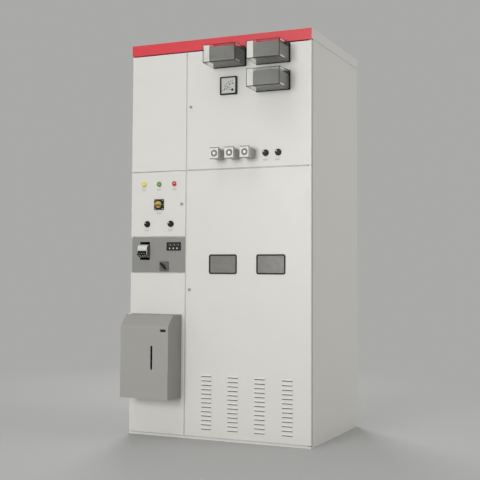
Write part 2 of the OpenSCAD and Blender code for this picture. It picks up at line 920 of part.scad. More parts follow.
module signal_relay_fronts() {
    color(pale) for (place = signal_places)
        on_face(place) translate([0, 0, signal_d - signal_front_t]) difference() {
            rounded_plate(signal_w, signal_h, signal_front_corner, signal_front_t);
            translate([0, 0, signal_front_t - ring_d]) difference() {
                cylinder(r = ring_outer_r, h = 2 * ring_d);
                cylinder(r = ring_inner_r, h = 2 * ring_d);
            }
        }
}

module selector_bezel(place) {
    on_face(place) difference() {
        union() {
            cylinder(r = selector_r, h = selector_bezel_t / 2);
            cylinder(r = selector_r - bezel_step, h = selector_bezel_t);
            neck(selector_neck_r);
            rear_block(selector_block);
        }
        translate([0, 0, -shaft_air])
            cylinder(r = shaft_r + shaft_clear, h = selector_bezel_t + 2 * shaft_air);
    }
}

module selector_knob(place) {
    grip_z = selector_bezel_t + knob_gap;
    knob_r = selector_r - knob_step;
    on_face(place) {
        cylinder(r = shaft_r, h = grip_z + shaft_bite);
        translate([0, 0, grip_z]) {
            cylinder(r = knob_r, h = knob_disc_t);
            rotate([0, 0, grip_rest])
                rounded_plate(grip_w, 2 * knob_r - bezel_step, grip_corner, selector_out - grip_z);
        }
    }
}

module upper_selector_bezels() {
    color(black) for (place = upper_selector_places) selector_bezel(place);
}

module upper_selector_knob_1() {
    color(black) selector_knob(upper_selector_places[0]);
}

module upper_selector_knob_2() {
    color(black) selector_knob(upper_selector_places[1]);
}

// Main door
louvre_left = right_x + (right_column_w - (louvre_columns - 1) * louvre_pitch_x) / 2;

// Side outline of a pressed louvre hood: distance out of the sheet, height above its lip
function hood_outline(out, h, back) = concat(
    [for (i = [0:hood_steps]) [out * cos(90 * i / hood_steps), h * sin(90 * i / hood_steps)]],
    [[-back, h], [-back, 0]]
);

module louvre_hood(out, h, w, back) {
    rotate([90, 0, 90]) translate([0, 0, -w / 2]) linear_extrude(w)
        polygon([for (p = hood_outline(out, h, back)) [-p[0], p[1]]]);
}

// The hollow of a hood and the slot below its lip
module louvre_mouth() {
    w = louvre_w - 2 * hood_wall;
    translate([0, 0, -eps]) louvre_hood(louvre_out - hood_wall, louvre_h - hood_wall, w, sheet + eps);
    block([-w / 2, -eps, -louvre_slot], [w / 2, sheet + eps, eps]);
}

module at_louvres() {
    lowest = door_foot_z + louvre_z;
    for (column = [0:louvre_columns - 1], row = [0:louvre_rows - 1])
        translate([louvre_left + column * louvre_pitch_x, y_front, lowest + row * louvre_pitch_z]) children();
}

main_lock_place = [right_x + lock_inset, door_foot_z + main_lock_z];

module main_door() {
    color(body_grey) difference() {
        union() {
            hinged_pan(right_x, door_foot_z, right_column_w, main_h, right_pivot_x);
            at_louvres() louvre_hood(louvre_out, louvre_h, louvre_w, sheet);
        }
        at_louvres() louvre_mouth();
        cut_outs([main_lock_place], lock_neck_r);
        for (place = window_places)
            on_face(place, y_front + sheet + eps)
                rounded_plate(window_w - 2 * gasket_bite, window_h - 2 * gasket_bite,
                              window_corner - gasket_bite, sheet + 2 * eps);
    }
}

module main_door_lock() {
    color(black) lock_cylinder(main_lock_place);
}

// A rubber ring with a front lip over the sheet and a neck in its cut-out
module window_gaskets() {
    color(black) for (place = window_places)
        on_face(place) difference() {
            union() {
                rounded_plate(window_w, window_h, window_corner, gasket_t);
                translate([0, 0, -sheet - gasket_t])
                    rounded_plate(window_w - 2 * gasket_bite - 2 * rubber_fit,
                                  window_h - 2 * gasket_bite - 2 * rubber_fit,
                                  window_corner - gasket_bite - rubber_fit, sheet + gasket_t + eps);
            }
            translate([0, 0, -sheet - gasket_t - eps])
                rounded_plate(window_w - 2 * gasket_lip, window_h - 2 * gasket_lip,
                              window_corner - gasket_lip, sheet + 2 * gasket_t + 2 * eps);
        }
}

module window_panes() {
    edge = gasket_lip + rubber_fit;
    color(glass_grey, 0.6) for (place = window_places)
        on_face(place) translate([0, 0, -pane_t])
            rounded_plate(window_w - 2 * edge, window_h - 2 * edge, window_corner - edge, pane_t);
}

// Control door
control_lock_place = [left_x + left_column_w - lock_inset, control_z + cam_z];

module control_door() {
    color(body_grey) difference() {
        hinged_pan(left_x, control_z, left_column_w, control_h, left_pivot_x);
        cut_outs(lamp_places, lamp_neck_r);
        cut_outs([cam_place], cam_neck_r);
        cut_outs(lower_selector_places, selector_neck_r);
        cut_outs([control_lock_place], lock_neck_r);
    }
}

module control_door_lock() {
    color(black) lock_cylinder(control_lock_place);
}

module lamp_bezels() {
    ring = [[0, 0], [lamp_r, 0], [lamp_r, bezel_side], [lamp_r - bezel_chamfer, bezel_t], [0, bezel_t]];
    color(steel) for (place = lamp_places)
        on_face(place) difference() {
            union() {
                rotate_extrude() polygon(ring);
                neck(lamp_neck_r);
                rear_barrel(lamp_barrel_r, lamp_barrel_d);
            }
            translate([0, 0, bezel_seat]) cylinder(r = lamp_r - bezel_wall, h = bezel_t);
        }
}

module lens(place) {
    lens_r = lamp_r - bezel_wall - lens_fit;
    dome = lamp_out - bezel_seat - lens_side;
    curve = [
        for (i = [0:lens_steps])
            let (a = 90 * i / lens_steps)
            [lens_r * cos(a), lens_side + dome * sin(a)]
    ];
    on_face(place) translate([0, 0, bezel_seat]) rotate_extrude()
        polygon(concat([[0, 0], [lens_r, 0]], curve));
}

module yellow_lens() {
    color([0.90, 0.80, 0.25]) lens(lamp_places[0]);
}

module green_lens() {
    color([0.30, 0.60, 0.30]) lens(lamp_places[1]);
}

module red_lens() {
    color([0.85, 0.25, 0.25]) lens(lamp_places[2]);
}

module cam_switch_plate() {
    color(black) on_face(cam_place) difference() {
        union() {
            rounded_plate(cam_plate, cam_plate, plate_corner, cam_plate_t);
            cylinder(r = cam_knob_r + cam_boss_rim, h = cam_plate_t + cam_boss_t);
            neck(cam_neck_r);
            rear_block(cam_block);
        }
        translate([0, 0, -shaft_air])
            cylinder(r = shaft_r + shaft_clear, h = cam_plate_t + cam_boss_t + 2 * shaft_air);
    }
}

module cam_switch_knob() {
    foot = cam_plate_t + cam_boss_t + knob_gap;
    half = cam_grip_w / 2;
    neck_x = cam_knob_r * cam_neck;
    tip_x = cam_knob_r + cam_tip;
    grip = [[-cam_knob_r, -half], [neck_x, -half], [tip_x, 0], [neck_x, half], [-cam_knob_r, half]];
    color([0.78, 0.66, 0.25]) on_face(cam_place) {
        cylinder(r = shaft_r, h = foot + shaft_bite);
        translate([0, 0, foot]) {
            cylinder(r = cam_knob_r, h = cam_disc_t);
            linear_extrude(cam_grip_t) polygon(grip);
        }
    }
}

module lower_selector_bezels() {
    color(black) for (place = lower_selector_places) selector_bezel(place);
}

module lower_selector_knob_1() {
    color(black) selector_knob(lower_selector_places[0]);
}

module lower_selector_knob_2() {
    color(black) selector_knob(lower_selector_places[1]);
}

base_rails();
anchor_plates();
floor_plate();
side_panels();
back_panels();
roof_cap();
header_strip();
front_sill();
frame_posts();
front_rails();
column_partition();
instrument_shelf();
instrument_back_wall();
upper_left_panel();
switch_panel();
lower_left_panel();
mechanism_cover();
cover_counter();
door_pivots();
voltage_indicator();
breaker_rail();
miniature_breaker();
handle_plate();
instrument_door();
instrument_door_lock();
relay_bases();
relay_cases();
relay_covers();
meter_case();
meter_dial();
meter_glass();
signal_relay_bodies();
signal_relay_fronts();
upper_selector_bezels();
upper_selector_knob_1();
upper_selector_knob_2();
main_door();
main_door_lock();
window_gaskets();
window_panes();
control_door();
control_door_lock();
lamp_bezels();
yellow_lens();
green_lens();
red_lens();
cam_switch_plate();
cam_switch_knob();
lower_selector_bezels();
lower_selector_knob_1();
lower_selector_knob_2();
selector_handle();
breaker_toggle();
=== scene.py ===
import json
import math
import bmesh
import bpy
from mathutils import Matrix, Vector

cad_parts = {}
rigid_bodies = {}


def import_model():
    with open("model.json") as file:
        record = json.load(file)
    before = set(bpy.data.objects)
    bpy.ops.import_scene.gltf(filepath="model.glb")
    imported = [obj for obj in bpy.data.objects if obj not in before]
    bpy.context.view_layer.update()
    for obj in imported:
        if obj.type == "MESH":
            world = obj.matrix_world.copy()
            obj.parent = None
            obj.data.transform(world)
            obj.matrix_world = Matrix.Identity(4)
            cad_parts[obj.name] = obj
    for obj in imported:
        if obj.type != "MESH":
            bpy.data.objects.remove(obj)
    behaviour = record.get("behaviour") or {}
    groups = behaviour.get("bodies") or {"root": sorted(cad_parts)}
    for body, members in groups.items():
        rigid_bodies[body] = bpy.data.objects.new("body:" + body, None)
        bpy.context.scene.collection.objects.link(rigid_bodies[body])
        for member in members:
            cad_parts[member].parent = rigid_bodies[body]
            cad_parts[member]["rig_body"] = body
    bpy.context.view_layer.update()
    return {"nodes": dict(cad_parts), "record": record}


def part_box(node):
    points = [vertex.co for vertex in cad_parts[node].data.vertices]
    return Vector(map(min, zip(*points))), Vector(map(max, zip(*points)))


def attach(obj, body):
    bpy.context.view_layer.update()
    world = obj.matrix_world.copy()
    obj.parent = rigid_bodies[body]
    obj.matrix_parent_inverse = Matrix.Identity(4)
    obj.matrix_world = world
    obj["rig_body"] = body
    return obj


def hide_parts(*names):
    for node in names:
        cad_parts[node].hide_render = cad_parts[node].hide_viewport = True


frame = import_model()
nodes = frame["nodes"]
scene = bpy.context.scene
scene.view_settings.view_transform = "Standard"
mm = 0.001
print("frame loaded:", len(nodes), "nodes")


# Small helpers: places are in metres, outlines and profiles in mm

weldDistance = 0.005 * mm
ringWeld = 0.001 * mm
softShare = 0.3  # where the ring between side and top lies on a softened edge


def nodeBody(nodeName):
    return nodes[nodeName]["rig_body"]


def newMeshes(count):
    return [bmesh.new() for i in range(count)]


def weldedMesh(nodeName):
    bm = bmesh.new()
    bm.from_mesh(nodes[nodeName].data)
    bmesh.ops.remove_doubles(bm, verts=bm.verts, dist=weldDistance)
    return bm


def solidBoxes(nodeName):  # lowest and highest corner of each solid of a node, from left to right
    bm = weldedMesh(nodeName)
    waiting = set(bm.verts)
    boxes = []
    while waiting:
        queue = [waiting.pop()]
        found = list(queue)
        while queue:
            for edge in queue.pop().link_edges:
                for vert in edge.verts:
                    if vert in waiting:
                        waiting.remove(vert)
                        queue.append(vert)
                        found.append(vert)
        low = Vector([min(v.co[i] for v in found) for i in range(3)])
        high = Vector([max(v.co[i] for v in found) for i in range(3)])
        boxes.append((low, high))
    bm.free()
    return sorted(boxes, key=lambda b: (round(b[0].x, 3), round(b[0].z, 3)))


def middle(box):
    return (box[0] + box[1]) / 2


def boxSize(box):  # in mm
    return (box[1] - box[0]) / mm


def addPiece(name, bm, body, slotName, material=None, smoothAngle=30):  # takes the slot's finish unless told
    bmesh.ops.recalc_face_normals(bm, faces=bm.faces)
    mesh = bpy.data.meshes.new(name)
    bm.to_mesh(mesh)
    bm.free()
    mesh.materials.append(finishes[slotName] if material is None else material)
    mesh.shade_smooth()
    mesh.set_sharp_from_angle(angle=math.radians(smoothAngle))
    piece = bpy.data.objects.new(name, mesh)
    scene.collection.objects.link(piece)
    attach(piece, body)
    return piece


def onFace(x, y, z, turn=0):  # local x right, y up and z out of the front
    return Matrix.Translation((x, y, z)) @ Matrix.Rotation(math.radians(90), 4, "X") \
        @ Matrix.Rotation(math.radians(turn), 4, "Z")


def frontOf(box, turn=0):  # the middle of a box's front
    centre = middle(box)
    return onFace(centre.x, box[0].y, centre.z, turn)


def faceOut(place, axis):  # local z along a world axis, for fittings that look down or back
    return Matrix.Translation(place) @ Vector(axis).to_track_quat("Z", "Y").to_matrix().to_4x4()


def addPoint(bm, place, x, y, z):
    return bm.verts.new(place @ Vector((x * mm, y * mm, z * mm)))


def addRevolve(bm, profile, place, steps):  # profile: radius and height pairs
    rings = []
    for radius, height in profile:
        angles = [2 * math.pi * i / steps for i in range(steps if radius else 1)]
        ring = [(radius * math.cos(a), radius * math.sin(a)) for a in angles]
        rings.append([addPoint(bm, place, x, y, height) for x, y in ring])
    for below, above in zip(rings, rings[1:]):
        for i in range(steps):
            j = (i + 1) % steps
            if len(below) == 1:
                bm.faces.new((below[0], above[i], above[j]))
            elif len(above) == 1:
                bm.faces.new((below[i], below[j], above[0]))
            else:
                bm.faces.new((below[i], below[j], above[j], above[i]))


def addRing(bm, profile, place, steps):  # a profile that stays off the axis and closes on itself
    addRevolve(bm, profile + profile[:1], place, steps)
    bmesh.ops.remove_doubles(bm, verts=bm.verts, dist=ringWeld)


def addSlab(bm, outline, bottom, top, place, soften=0.0):  # an outline raised into a plate
    layers = [(0.0, bottom), (0.0, top - soften)]
    if soften > 0:
        layers += [(soften * softShare, top - soften * softShare), (soften, top)]
    centre = Vector((sum(p[0] for p in outline), sum(p[1] for p in outline))) / len(outline)
    rings = []
    for inset, height in layers:
        ring = []
        for point in outline:
            offset = Vector(point) - centre
            x, y = centre + offset * max(0.0, 1 - inset / (offset.length or 1.0))
            ring.append(addPoint(bm, place, x, y, height))
        rings.append(ring)
    for below, above in zip(rings, rings[1:]):
        for i in range(len(outline)):
            j = (i + 1) % len(outline)
            bm.faces.new((below[i], below[j], above[j], above[i]))
    bm.faces.new(rings[-1])
    bm.faces.new(rings[0][::-1])


def shifted(outline, dx, dy):
    return [(x + dx, y + dy) for x, y in outline]


def barOutline(width, height):
    x, y = width / 2, height / 2
    return [(x, y), (-x, y), (-x, -y), (x, -y)]


def roundedOutline(width, height, radius, steps):
    points = []
    for corner, (sx, sy) in enumerate(((1, 1), (-1, 1), (-1, -1), (1, -1))):
        for i in range(steps + 1):
            angle = math.radians(90 * corner + 90 * i / steps)
            points.append((sx * (width / 2 - radius) + radius * math.cos(angle),
                           sy * (height / 2 - radius) + radius * math.sin(angle)))
    return points


def hexOutline(radius, turn):
    angles = [math.radians(60 * i + turn) for i in range(6)]
    return [(radius * math.cos(a), radius * math.sin(a)) for a in angles]


def addBar(bm, look, place, steps=4):  # rounded plate from its size, corner, middle, bottom and top
    bar = roundedOutline(*look["size"], look["corner"], steps)
    addSlab(bm, shifted(bar, *look.get("at", (0, 0))), *look["span"], place, look.get("soften", 0.0))


# Node groups that several finishes share

def makeGroup(name, outputs, inputs):  # a tuple makes a colour socket, a number a value socket
    group = bpy.data.node_groups.new(name, "ShaderNodeTree")
    for socketName, value in inputs.items():
        kind = "NodeSocketColor" if isinstance(value, tuple) else "NodeSocketFloat"
        group.interface.new_socket(socketName, in_out="INPUT", socket_type=kind).default_value = value
    for socketName in outputs:
        kind = "NodeSocketColor" if socketName == "Colour" else "NodeSocketFloat"
        group.interface.new_socket(socketName, in_out="OUTPUT", socket_type=kind)
    return group, group.nodes.new("NodeGroupInput").outputs, group.nodes.new("NodeGroupOutput").inputs


def feed(tree, socket, value):  # a number or colour is set, an output is linked
    if isinstance(value, (int, float, tuple)):
        socket.default_value = value
    else:
        tree.links.new(value, socket)


def addNode(tree, kind, settings=None, **values):
    node = tree.nodes.new(kind)
    for key, value in (settings or {}).items():
        setattr(node, key, value)
    for key, value in values.items():
        feed(tree, node.inputs[key], value)
    return node


def addNoise(tree, scale, detail, roughness, vector=None):
    if vector is None:
        vector = addNode(tree, "ShaderNodeTexCoord").outputs["Object"]
    noise = addNode(tree, "ShaderNodeTexNoise", Vector=vector, Scale=scale, Detail=detail,
                    Roughness=roughness)
    return noise.outputs["Fac"]


def addRange(tree, source, low, high, newLow, newHigh):
    ranged = addNode(tree, "ShaderNodeMapRange", {"clamp": True})
    for index, value in enumerate((source, low, high, newLow, newHigh)):
        feed(tree, ranged.inputs[index], value)
    return ranged.outputs["Result"]


def addMath(tree, operation, first, second):
    node = addNode(tree, "ShaderNodeMath", {"operation": operation})
    feed(tree, node.inputs[0], first)
    feed(tree, node.inputs[1], second)
    return node.outputs["Value"]


def addMix(tree, factor, first, second, blend="MIX"):
    node = addNode(tree, "ShaderNodeMix", {"data_type": "RGBA", "blend_type": blend})
    for index, value in ((0, factor), (6, first), (7, second)):  # the colour sockets of this node
        feed(tree, node.inputs[index], value)
    return node.outputs[2]


def addShade(tree, colour, source, gain, amount):  # a colour made lighter and darker by a value round 0.5
    signed = addMath(tree, "MULTIPLY", addMath(tree, "SUBTRACT", source, 0.5), gain)
    shade = addMath(tree, "ADD", addMath(tree, "MULTIPLY", signed, amount), 1.0)
    tint = addNode(tree, "ShaderNodeCombineColor", Red=shade, Green=shade, Blue=shade)
    return addMix(tree, 1.0, colour, tint.outputs["Color"], "MULTIPLY")


# Noises are scale, detail and roughness; ranges are from low and high to low and high
coatMarks = {"broad": (1.1, 3.0, 0.55), "cloud": (9.0, 4.0, 0.6), "shares": (0.7, 0.3), "gain": 4.0,
             "peel": (2.0, 0.45), "wave": (2.1, 1.0, 0.4), "uneven": (0.3, 0.7, -0.05, 0.06)}


def makePowderCoat():  # drifting shade, orange peel and the slight waves of a folded sheet
    group, given, made = makeGroup("powderCoat", ("Colour", "Roughness", "Height"), {
        "Colour": (0.6, 0.6, 0.58, 1), "Roughness": 0.4, "Drift": 0.03, "Peel Scale": 500.0,
        "Peel Depth": 0.000008, "Wave Depth": 0.0003})
    broad = addNoise(group, *coatMarks["broad"])
    cloud = addNoise(group, *coatMarks["cloud"])
    peel = addNoise(group, given["Peel Scale"], *coatMarks["peel"])
    wave = addNoise(group, *coatMarks["wave"])
    broadShare, cloudShare = coatMarks["shares"]
    drift = addMath(group, "ADD", addMath(group, "MULTIPLY", broad, broadShare),
                    addMath(group, "MULTIPLY", cloud, cloudShare))
    feed(group, made["Colour"], addShade(group, given["Colour"], drift, coatMarks["gain"], given["Drift"]))
    uneven = addRange(group, cloud, *coatMarks["uneven"])
    feed(group, made["Roughness"], addMath(group, "ADD", given["Roughness"], uneven))
    fine = addMath(group, "MULTIPLY", peel, given["Peel Depth"])
    slow = addMath(group, "MULTIPLY", wave, given["Wave Depth"])
    feed(group, made["Height"], addMath(group, "ADD", fine, slow))
    return group


rubMarks = {"patch": (38.0, 3.0, 0.6), "worn": (0.36, 0.66, 0.25, 1.0)}


def makeEdgeRub():  # paint rubbed thin along the rounded edges, which carry the face attribute edgeBand
    group, given, made = makeGroup("edgeRub", ("Colour",), {
        "Colour": (0.6, 0.6, 0.6, 1), "Rubbed": (0.75, 0.75, 0.75, 1), "Rub": 0.5})
    band = addNode(group, "ShaderNodeAttribute", {"attribute_name": "edgeBand"}).outputs["Fac"]
    worn = addRange(group, addNoise(group, *rubMarks["patch"]), *rubMarks["worn"])
    mask = addMath(group, "MULTIPLY", addMath(group, "MULTIPLY", band, worn), given["Rub"])
    feed(group, made["Colour"], addMix(group, mask, given["Colour"], given["Rubbed"]))
    return group


dustMarks = {"upward": (0.45, 0.95, 0.0, 1.0), "speck": (26.0, 5.0, 0.65),
             "speckled": (0.32, 0.68, 0.25, 1.0), "fall": 2.0, "smear": (7.0, 5.0, 0.6),
             "smeared": (0.35, 0.7, 0.15, 0.7), "rougher": 0.35}


def makeSettledDust():  # dust that lies on faces that look up, and a scuffed foot near the floor
    group, given, made = makeGroup("settledDust", ("Colour", "Roughness"), {
        "Colour": (0.6, 0.6, 0.6, 1), "Roughness": 0.4, "Dust Colour": (0.46, 0.44, 0.40, 1), "Dust": 0.35,
        "Foot": 0.22})
    coords = addNode(group, "ShaderNodeTexCoord").outputs["Object"]
    normal = addNode(group, "ShaderNodeNewGeometry").outputs["Normal"]
    facing = addNode(group, "ShaderNodeSeparateXYZ", Vector=normal).outputs["Z"]
    speck = addNoise(group, *dustMarks["speck"], coords)
    upward = addMath(group, "MULTIPLY", addRange(group, facing, *dustMarks["upward"]),
                     addRange(group, speck, *dustMarks["speckled"]))
    height = addNode(group, "ShaderNodeSeparateXYZ", Vector=coords).outputs["Z"]
    low = addMath(group, "SUBTRACT", 1.0, addMath(group, "DIVIDE", height, given["Foot"]))
    low = addMath(group, "POWER", addMath(group, "MAXIMUM", low, 0.0), dustMarks["fall"])
    smear = addNoise(group, *dustMarks["smear"], coords)
    low = addMath(group, "MULTIPLY", low, addRange(group, smear, *dustMarks["smeared"]))
    mask = addMath(group, "MULTIPLY", addMath(group, "MAXIMUM", upward, low), given["Dust"])
    feed(group, made["Colour"], addMix(group, mask, given["Colour"], given["Dust Colour"]))
    rougher = addMath(group, "MULTIPLY", mask, dustMarks["rougher"])
    feed(group, made["Roughness"], addMath(group, "ADD", given["Roughness"], rougher))
    return group


grainMarks = {"grain": (1.0, 0.5), "flow": (34.0, 3.0, 0.55), "gain": 3.0, "uneven": (0.3, 0.7, -0.06, 0.08)}


def makeMouldGrain():  # spark-eroded grain and faint flow marks of moulded plastic
    group, given, made = makeGroup("mouldGrain", ("Colour", "Roughness", "Height"), {
        "Colour": (0.03, 0.03, 0.03, 1), "Roughness": 0.45, "Drift": 0.12, "Grain Scale": 1400.0,
        "Grain Depth": 0.00001})
    grain = addNoise(group, given["Grain Scale"], *grainMarks["grain"])
    flow = addNoise(group, *grainMarks["flow"])
    feed(group, made["Colour"], addShade(group, given["Colour"], flow, grainMarks["gain"], given["Drift"]))
    uneven = addRange(group, flow, *grainMarks["uneven"])
    feed(group, made["Roughness"], addMath(group, "ADD", given["Roughness"], uneven))
    feed(group, made["Height"], addMath(group, "MULTIPLY", grain, given["Grain Depth"]))
    return group


scuffMarks = {"stretch": (1.0, 1.0, 18.0), "lines": (130.0, 2.0, 0.5), "cells": 160.0, "gain": 1.0,
              "uneven": (0.3, 0.7, -0.05, 0.08)}


def makePlateScuff():  # drawn lines and handling marks of plated metal
    group, given, made = makeGroup("plateScuff", ("Colour", "Roughness", "Height"), {
        "Colour": (0.6, 0.6, 0.58, 1), "Roughness": 0.3, "Spangle": 0.1, "Line Depth": 0.000004})
    coords = addNode(group, "ShaderNodeTexCoord").outputs["Object"]
    stretch = addNode(group, "ShaderNodeMapping", Vector=coords, Scale=scuffMarks["stretch"])
    lines = addNoise(group, *scuffMarks["lines"], stretch.outputs["Vector"])
    cells = addNode(group, "ShaderNodeTexVoronoi", Vector=coords, Scale=scuffMarks["cells"])
    spangle = addNode(group, "ShaderNodeSeparateColor", Color=cells.outputs["Color"]).outputs["Red"]
    shaded = addShade(group, given["Colour"], spangle, scuffMarks["gain"], given["Spangle"])
    feed(group, made["Colour"], shaded)
    uneven = addRange(group, lines, *scuffMarks["uneven"])
    feed(group, made["Roughness"], addMath(group, "ADD", given["Roughness"], uneven))
    feed(group, made["Height"], addMath(group, "MULTIPLY", lines, given["Line Depth"]))
    return group


powderCoat = makePowderCoat()
edgeRub = makeEdgeRub()
settledDust = makeSettledDust()
mouldGrain = makeMouldGrain()
plateScuff = makePlateScuff()
print("node groups ready")


# Finishes

def newMaterial(name):
    material = bpy.data.materials.new(name)
    material.use_nodes = True
    tree = material.node_tree
    return material, tree, tree.nodes["Principled BSDF"]


def placeGroup(tree, group, look):  # an input such as Peel Scale takes the look's peelScale
    node = addNode(tree, "ShaderNodeGroup", {"node_tree": group})
    for socket in node.inputs:
        key = socket.name[0].lower() + socket.name[1:].replace(" ", "")
        if key in look:
            socket.default_value = look[key]
    return node


def makeFinish(name, look, groups, constants):  # the first group is the surface, the next ones lie over it
    material, tree, shader = newMaterial(name)
    surface, *layers = [placeGroup(tree, group, look) for group in groups]
    colour, roughness = surface.outputs["Colour"], surface.outputs["Roughness"]
    for layer in layers:
        feed(tree, layer.inputs["Colour"], colour)
        colour = layer.outputs["Colour"]
        if "Roughness" in layer.outputs:
            feed(tree, layer.inputs["Roughness"], roughness)
            roughness = layer.outputs["Roughness"]
    feed(tree, shader.inputs["Base Color"], colour)
    feed(tree, shader.inputs["Roughness"], roughness)
    bump = addNode(tree, "ShaderNodeBump", Strength=1.0, Distance=1.0, Height=surface.outputs["Height"])
    feed(tree, shader.inputs["Normal"], bump.outputs["Normal"])
    for socketName, value in constants.items():
        shader.inputs[socketName].default_value = value
    return material


def paintedSheet(name, look):
    return makeFinish(name, look, (powderCoat, edgeRub, settledDust), {})


def mouldedPlastic(name, look):
    return makeFinish(name, look, (mouldGrain, edgeRub, settledDust), {"Specular IOR Level": look["shine"]})


def platedMetal(name, look):
    return makeFinish(name, look, (plateScuff, settledDust), {"Metallic": 1.0})


def clearSheet(name, look):
    return makeFinish(name, look, (mouldGrain,), {
        "Transmission Weight": look["transmission"], "IOR": look["ior"]})


def lampLens(name, look):
    return makeFinish(name, look, (mouldGrain,), {
        "Transmission Weight": look["transmission"], "Coat Weight": look["coat"],
        "Emission Color": look["colour"], "Emission Strength": look["glow"]})


sheetLook = {"colour": (0.640, 0.632, 0.600, 1), "rubbed": (0.80, 0.79, 0.76, 1), "rub": 0.6,
             "roughness": 0.40, "drift": 0.022, "peelScale": 520.0, "peelDepth": 0.000008,
             "waveDepth": 0.0004, "dust": 0.30, "foot": 0.20}
headerLook = {**sheetLook, "colour": (0.620, 0.035, 0.050, 1), "rubbed": (0.80, 0.18, 0.19, 1),
              "drift": 0.03, "foot": 0.01}
panelLook = {**sheetLook, "colour": (0.230, 0.227, 0.214, 1), "rubbed": (0.36, 0.355, 0.34, 1),
             "roughness": 0.46, "drift": 0.03, "foot": 0.01}
coverLook = {**sheetLook, "colour": (0.312, 0.307, 0.289, 1), "rubbed": (0.48, 0.475, 0.45, 1),
             "roughness": 0.52, "drift": 0.035, "peelScale": 900.0, "peelDepth": 0.00003, "dust": 0.08,
             "foot": 0.01}
# painted shade: the dark colour of the slabs that stand for the shade in the louvre mouths
louvreShadeLook = {**sheetLook, "colour": (0.105, 0.104, 0.100, 1), "rub": 0.0, "roughness": 0.6}
blackLook = {"colour": (0.009, 0.009, 0.009, 1), "rubbed": (0.05, 0.05, 0.048, 1), "rub": 0.5,
             "roughness": 0.44, "shine": 0.22, "drift": 0.2, "grainScale": 1500.0, "grainDepth": 0.000012,
             "dust": 0.1, "foot": 0.01}
greyLook = {**blackLook, "colour": (0.205, 0.202, 0.190, 1), "rubbed": (0.30, 0.295, 0.28, 1),
            "drift": 0.05, "roughness": 0.48, "shine": 0.4, "dust": 0.25}
darkGreyLook = {**greyLook, "colour": (0.095, 0.094, 0.090, 1), "rubbed": (0.17, 0.168, 0.16, 1)}
dimLook = {**greyLook, "colour": (0.045, 0.045, 0.043, 1), "roughness": 0.2}
# painted light: a lighter copy of the grey plastic for the signal relay bodies, whose sides fall in shade
litBodyLook = {**greyLook, "colour": (0.43, 0.425, 0.405, 1)}
dishLook = {**greyLook, "colour": (0.180, 0.178, 0.170, 1)}
paleLook = {**blackLook, "colour": (0.66, 0.655, 0.63, 1), "rubbed": (0.78, 0.775, 0.75, 1),
            "drift": 0.03, "roughness": 0.38, "shine": 0.5, "dust": 0.22}
tagLook = {**paleLook, "colour": (0.50, 0.495, 0.475, 1), "rubbed": (0.60, 0.595, 0.57, 1)}
rubberLook = {**blackLook, "colour": (0.016, 0.016, 0.015, 1), "roughness": 0.66, "grainScale": 700.0,
              "grainDepth": 0.00003}
foamLook = {**rubberLook, "colour": (0.035, 0.035, 0.034, 1), "grainScale": 420.0, "grainDepth": 0.00012,
            "roughness": 0.85}
knobLook = {**blackLook, "colour": (0.50, 0.33, 0.055, 1), "rubbed": (0.66, 0.48, 0.14, 1), "drift": 0.08,
            "roughness": 0.34, "shine": 0.45}
# painted shade: the dark brown that stands for the shadow under the knob's grip
knobShadeLook = {**knobLook, "colour": (0.022, 0.012, 0.004, 1), "rub": 0.2}
printAndGlintLook = {**blackLook, "colour": (0.78, 0.78, 0.75, 1), "rubbed": (0.78, 0.78, 0.75, 1), "drift": 0.02,
             "roughness": 0.5}
inkAndShadeLook = {**blackLook, "colour": (0.02, 0.02, 0.02, 1), "roughness": 0.55, "drift": 0.05}
zincLook = {"colour": (0.58, 0.58, 0.56, 1), "roughness": 0.36, "spangle": 0.22, "lineDepth": 0.000004,
            "dust": 0.1, "foot": 0.01}
lockLook = {**zincLook, "colour": (0.30, 0.30, 0.295, 1), "roughness": 0.34, "spangle": 0.05,
            "lineDepth": 0.000003}
chromeLook = {**zincLook, "colour": (0.80, 0.80, 0.79, 1), "roughness": 0.13, "spangle": 0.02,
              "lineDepth": 0.000001, "dust": 0.05}
clearLook = {"colour": (0.93, 0.935, 0.925, 1), "roughness": 0.07, "drift": 0.02, "grainScale": 300.0,
             "grainDepth": 0.000002, "transmission": 1.0, "ior": 1.12}
glassLook = {"colour": (0.225, 0.218, 0.200, 1), "roughness": 0.16, "drift": 0.06, "grainScale": 240.0,
             "grainDepth": 0.000004, "transmission": 0.12, "ior": 1.5}
yellowLook = {"colour": (0.70, 0.60, 0.03, 1), "roughness": 0.12, "drift": 0.1, "grainScale": 260.0,
              "grainDepth": 0.00001, "transmission": 0.25, "coat": 0.5, "glow": 0.16}
greenLook = {**yellowLook, "colour": (0.13, 0.30, 0.05, 1), "glow": 0.12}
redLook = {**yellowLook, "colour": (0.54, 0.045, 0.06, 1), "glow": 0.12}

finishes = {
    "body_paint": paintedSheet("lightGreyPaint", sheetLook),
    "header_paint": paintedSheet("redHeaderPaint", headerLook),
    "panel_paint": paintedSheet("switchPanelPaint", panelLook),
    "cover_paint": paintedSheet("coverPaint", coverLook),
    "black_plastic": mouldedPlastic("blackPlastic", blackLook),
    "grey_plastic": mouldedPlastic("greyPlastic", greyLook),
    "dark_grey_plastic": mouldedPlastic("darkGreyPlastic", darkGreyLook),
    "pale_plastic": mouldedPlastic("palePlastic", paleLook),
    "window_rubber": mouldedPlastic("windowRubber", rubberLook),
    "knob_yellow": mouldedPlastic("knobYellow", knobLook),
    "zinc_steel": platedMetal("zincSteel", zincLook),
    "lock_steel": platedMetal("lockSteel", lockLook),
    "bezel_chrome": platedMetal("bezelChrome", chromeLook),
    "clear_plastic": clearSheet("clearPlastic", clearLook),
    "window_glass": clearSheet("windowGlass", glassLook),
    "yellow_lens": lampLens("yellowLens", yellowLook),
    "green_lens": lampLens("greenLens", greenLook),
    "red_lens": lampLens("redLens", redLook),
}
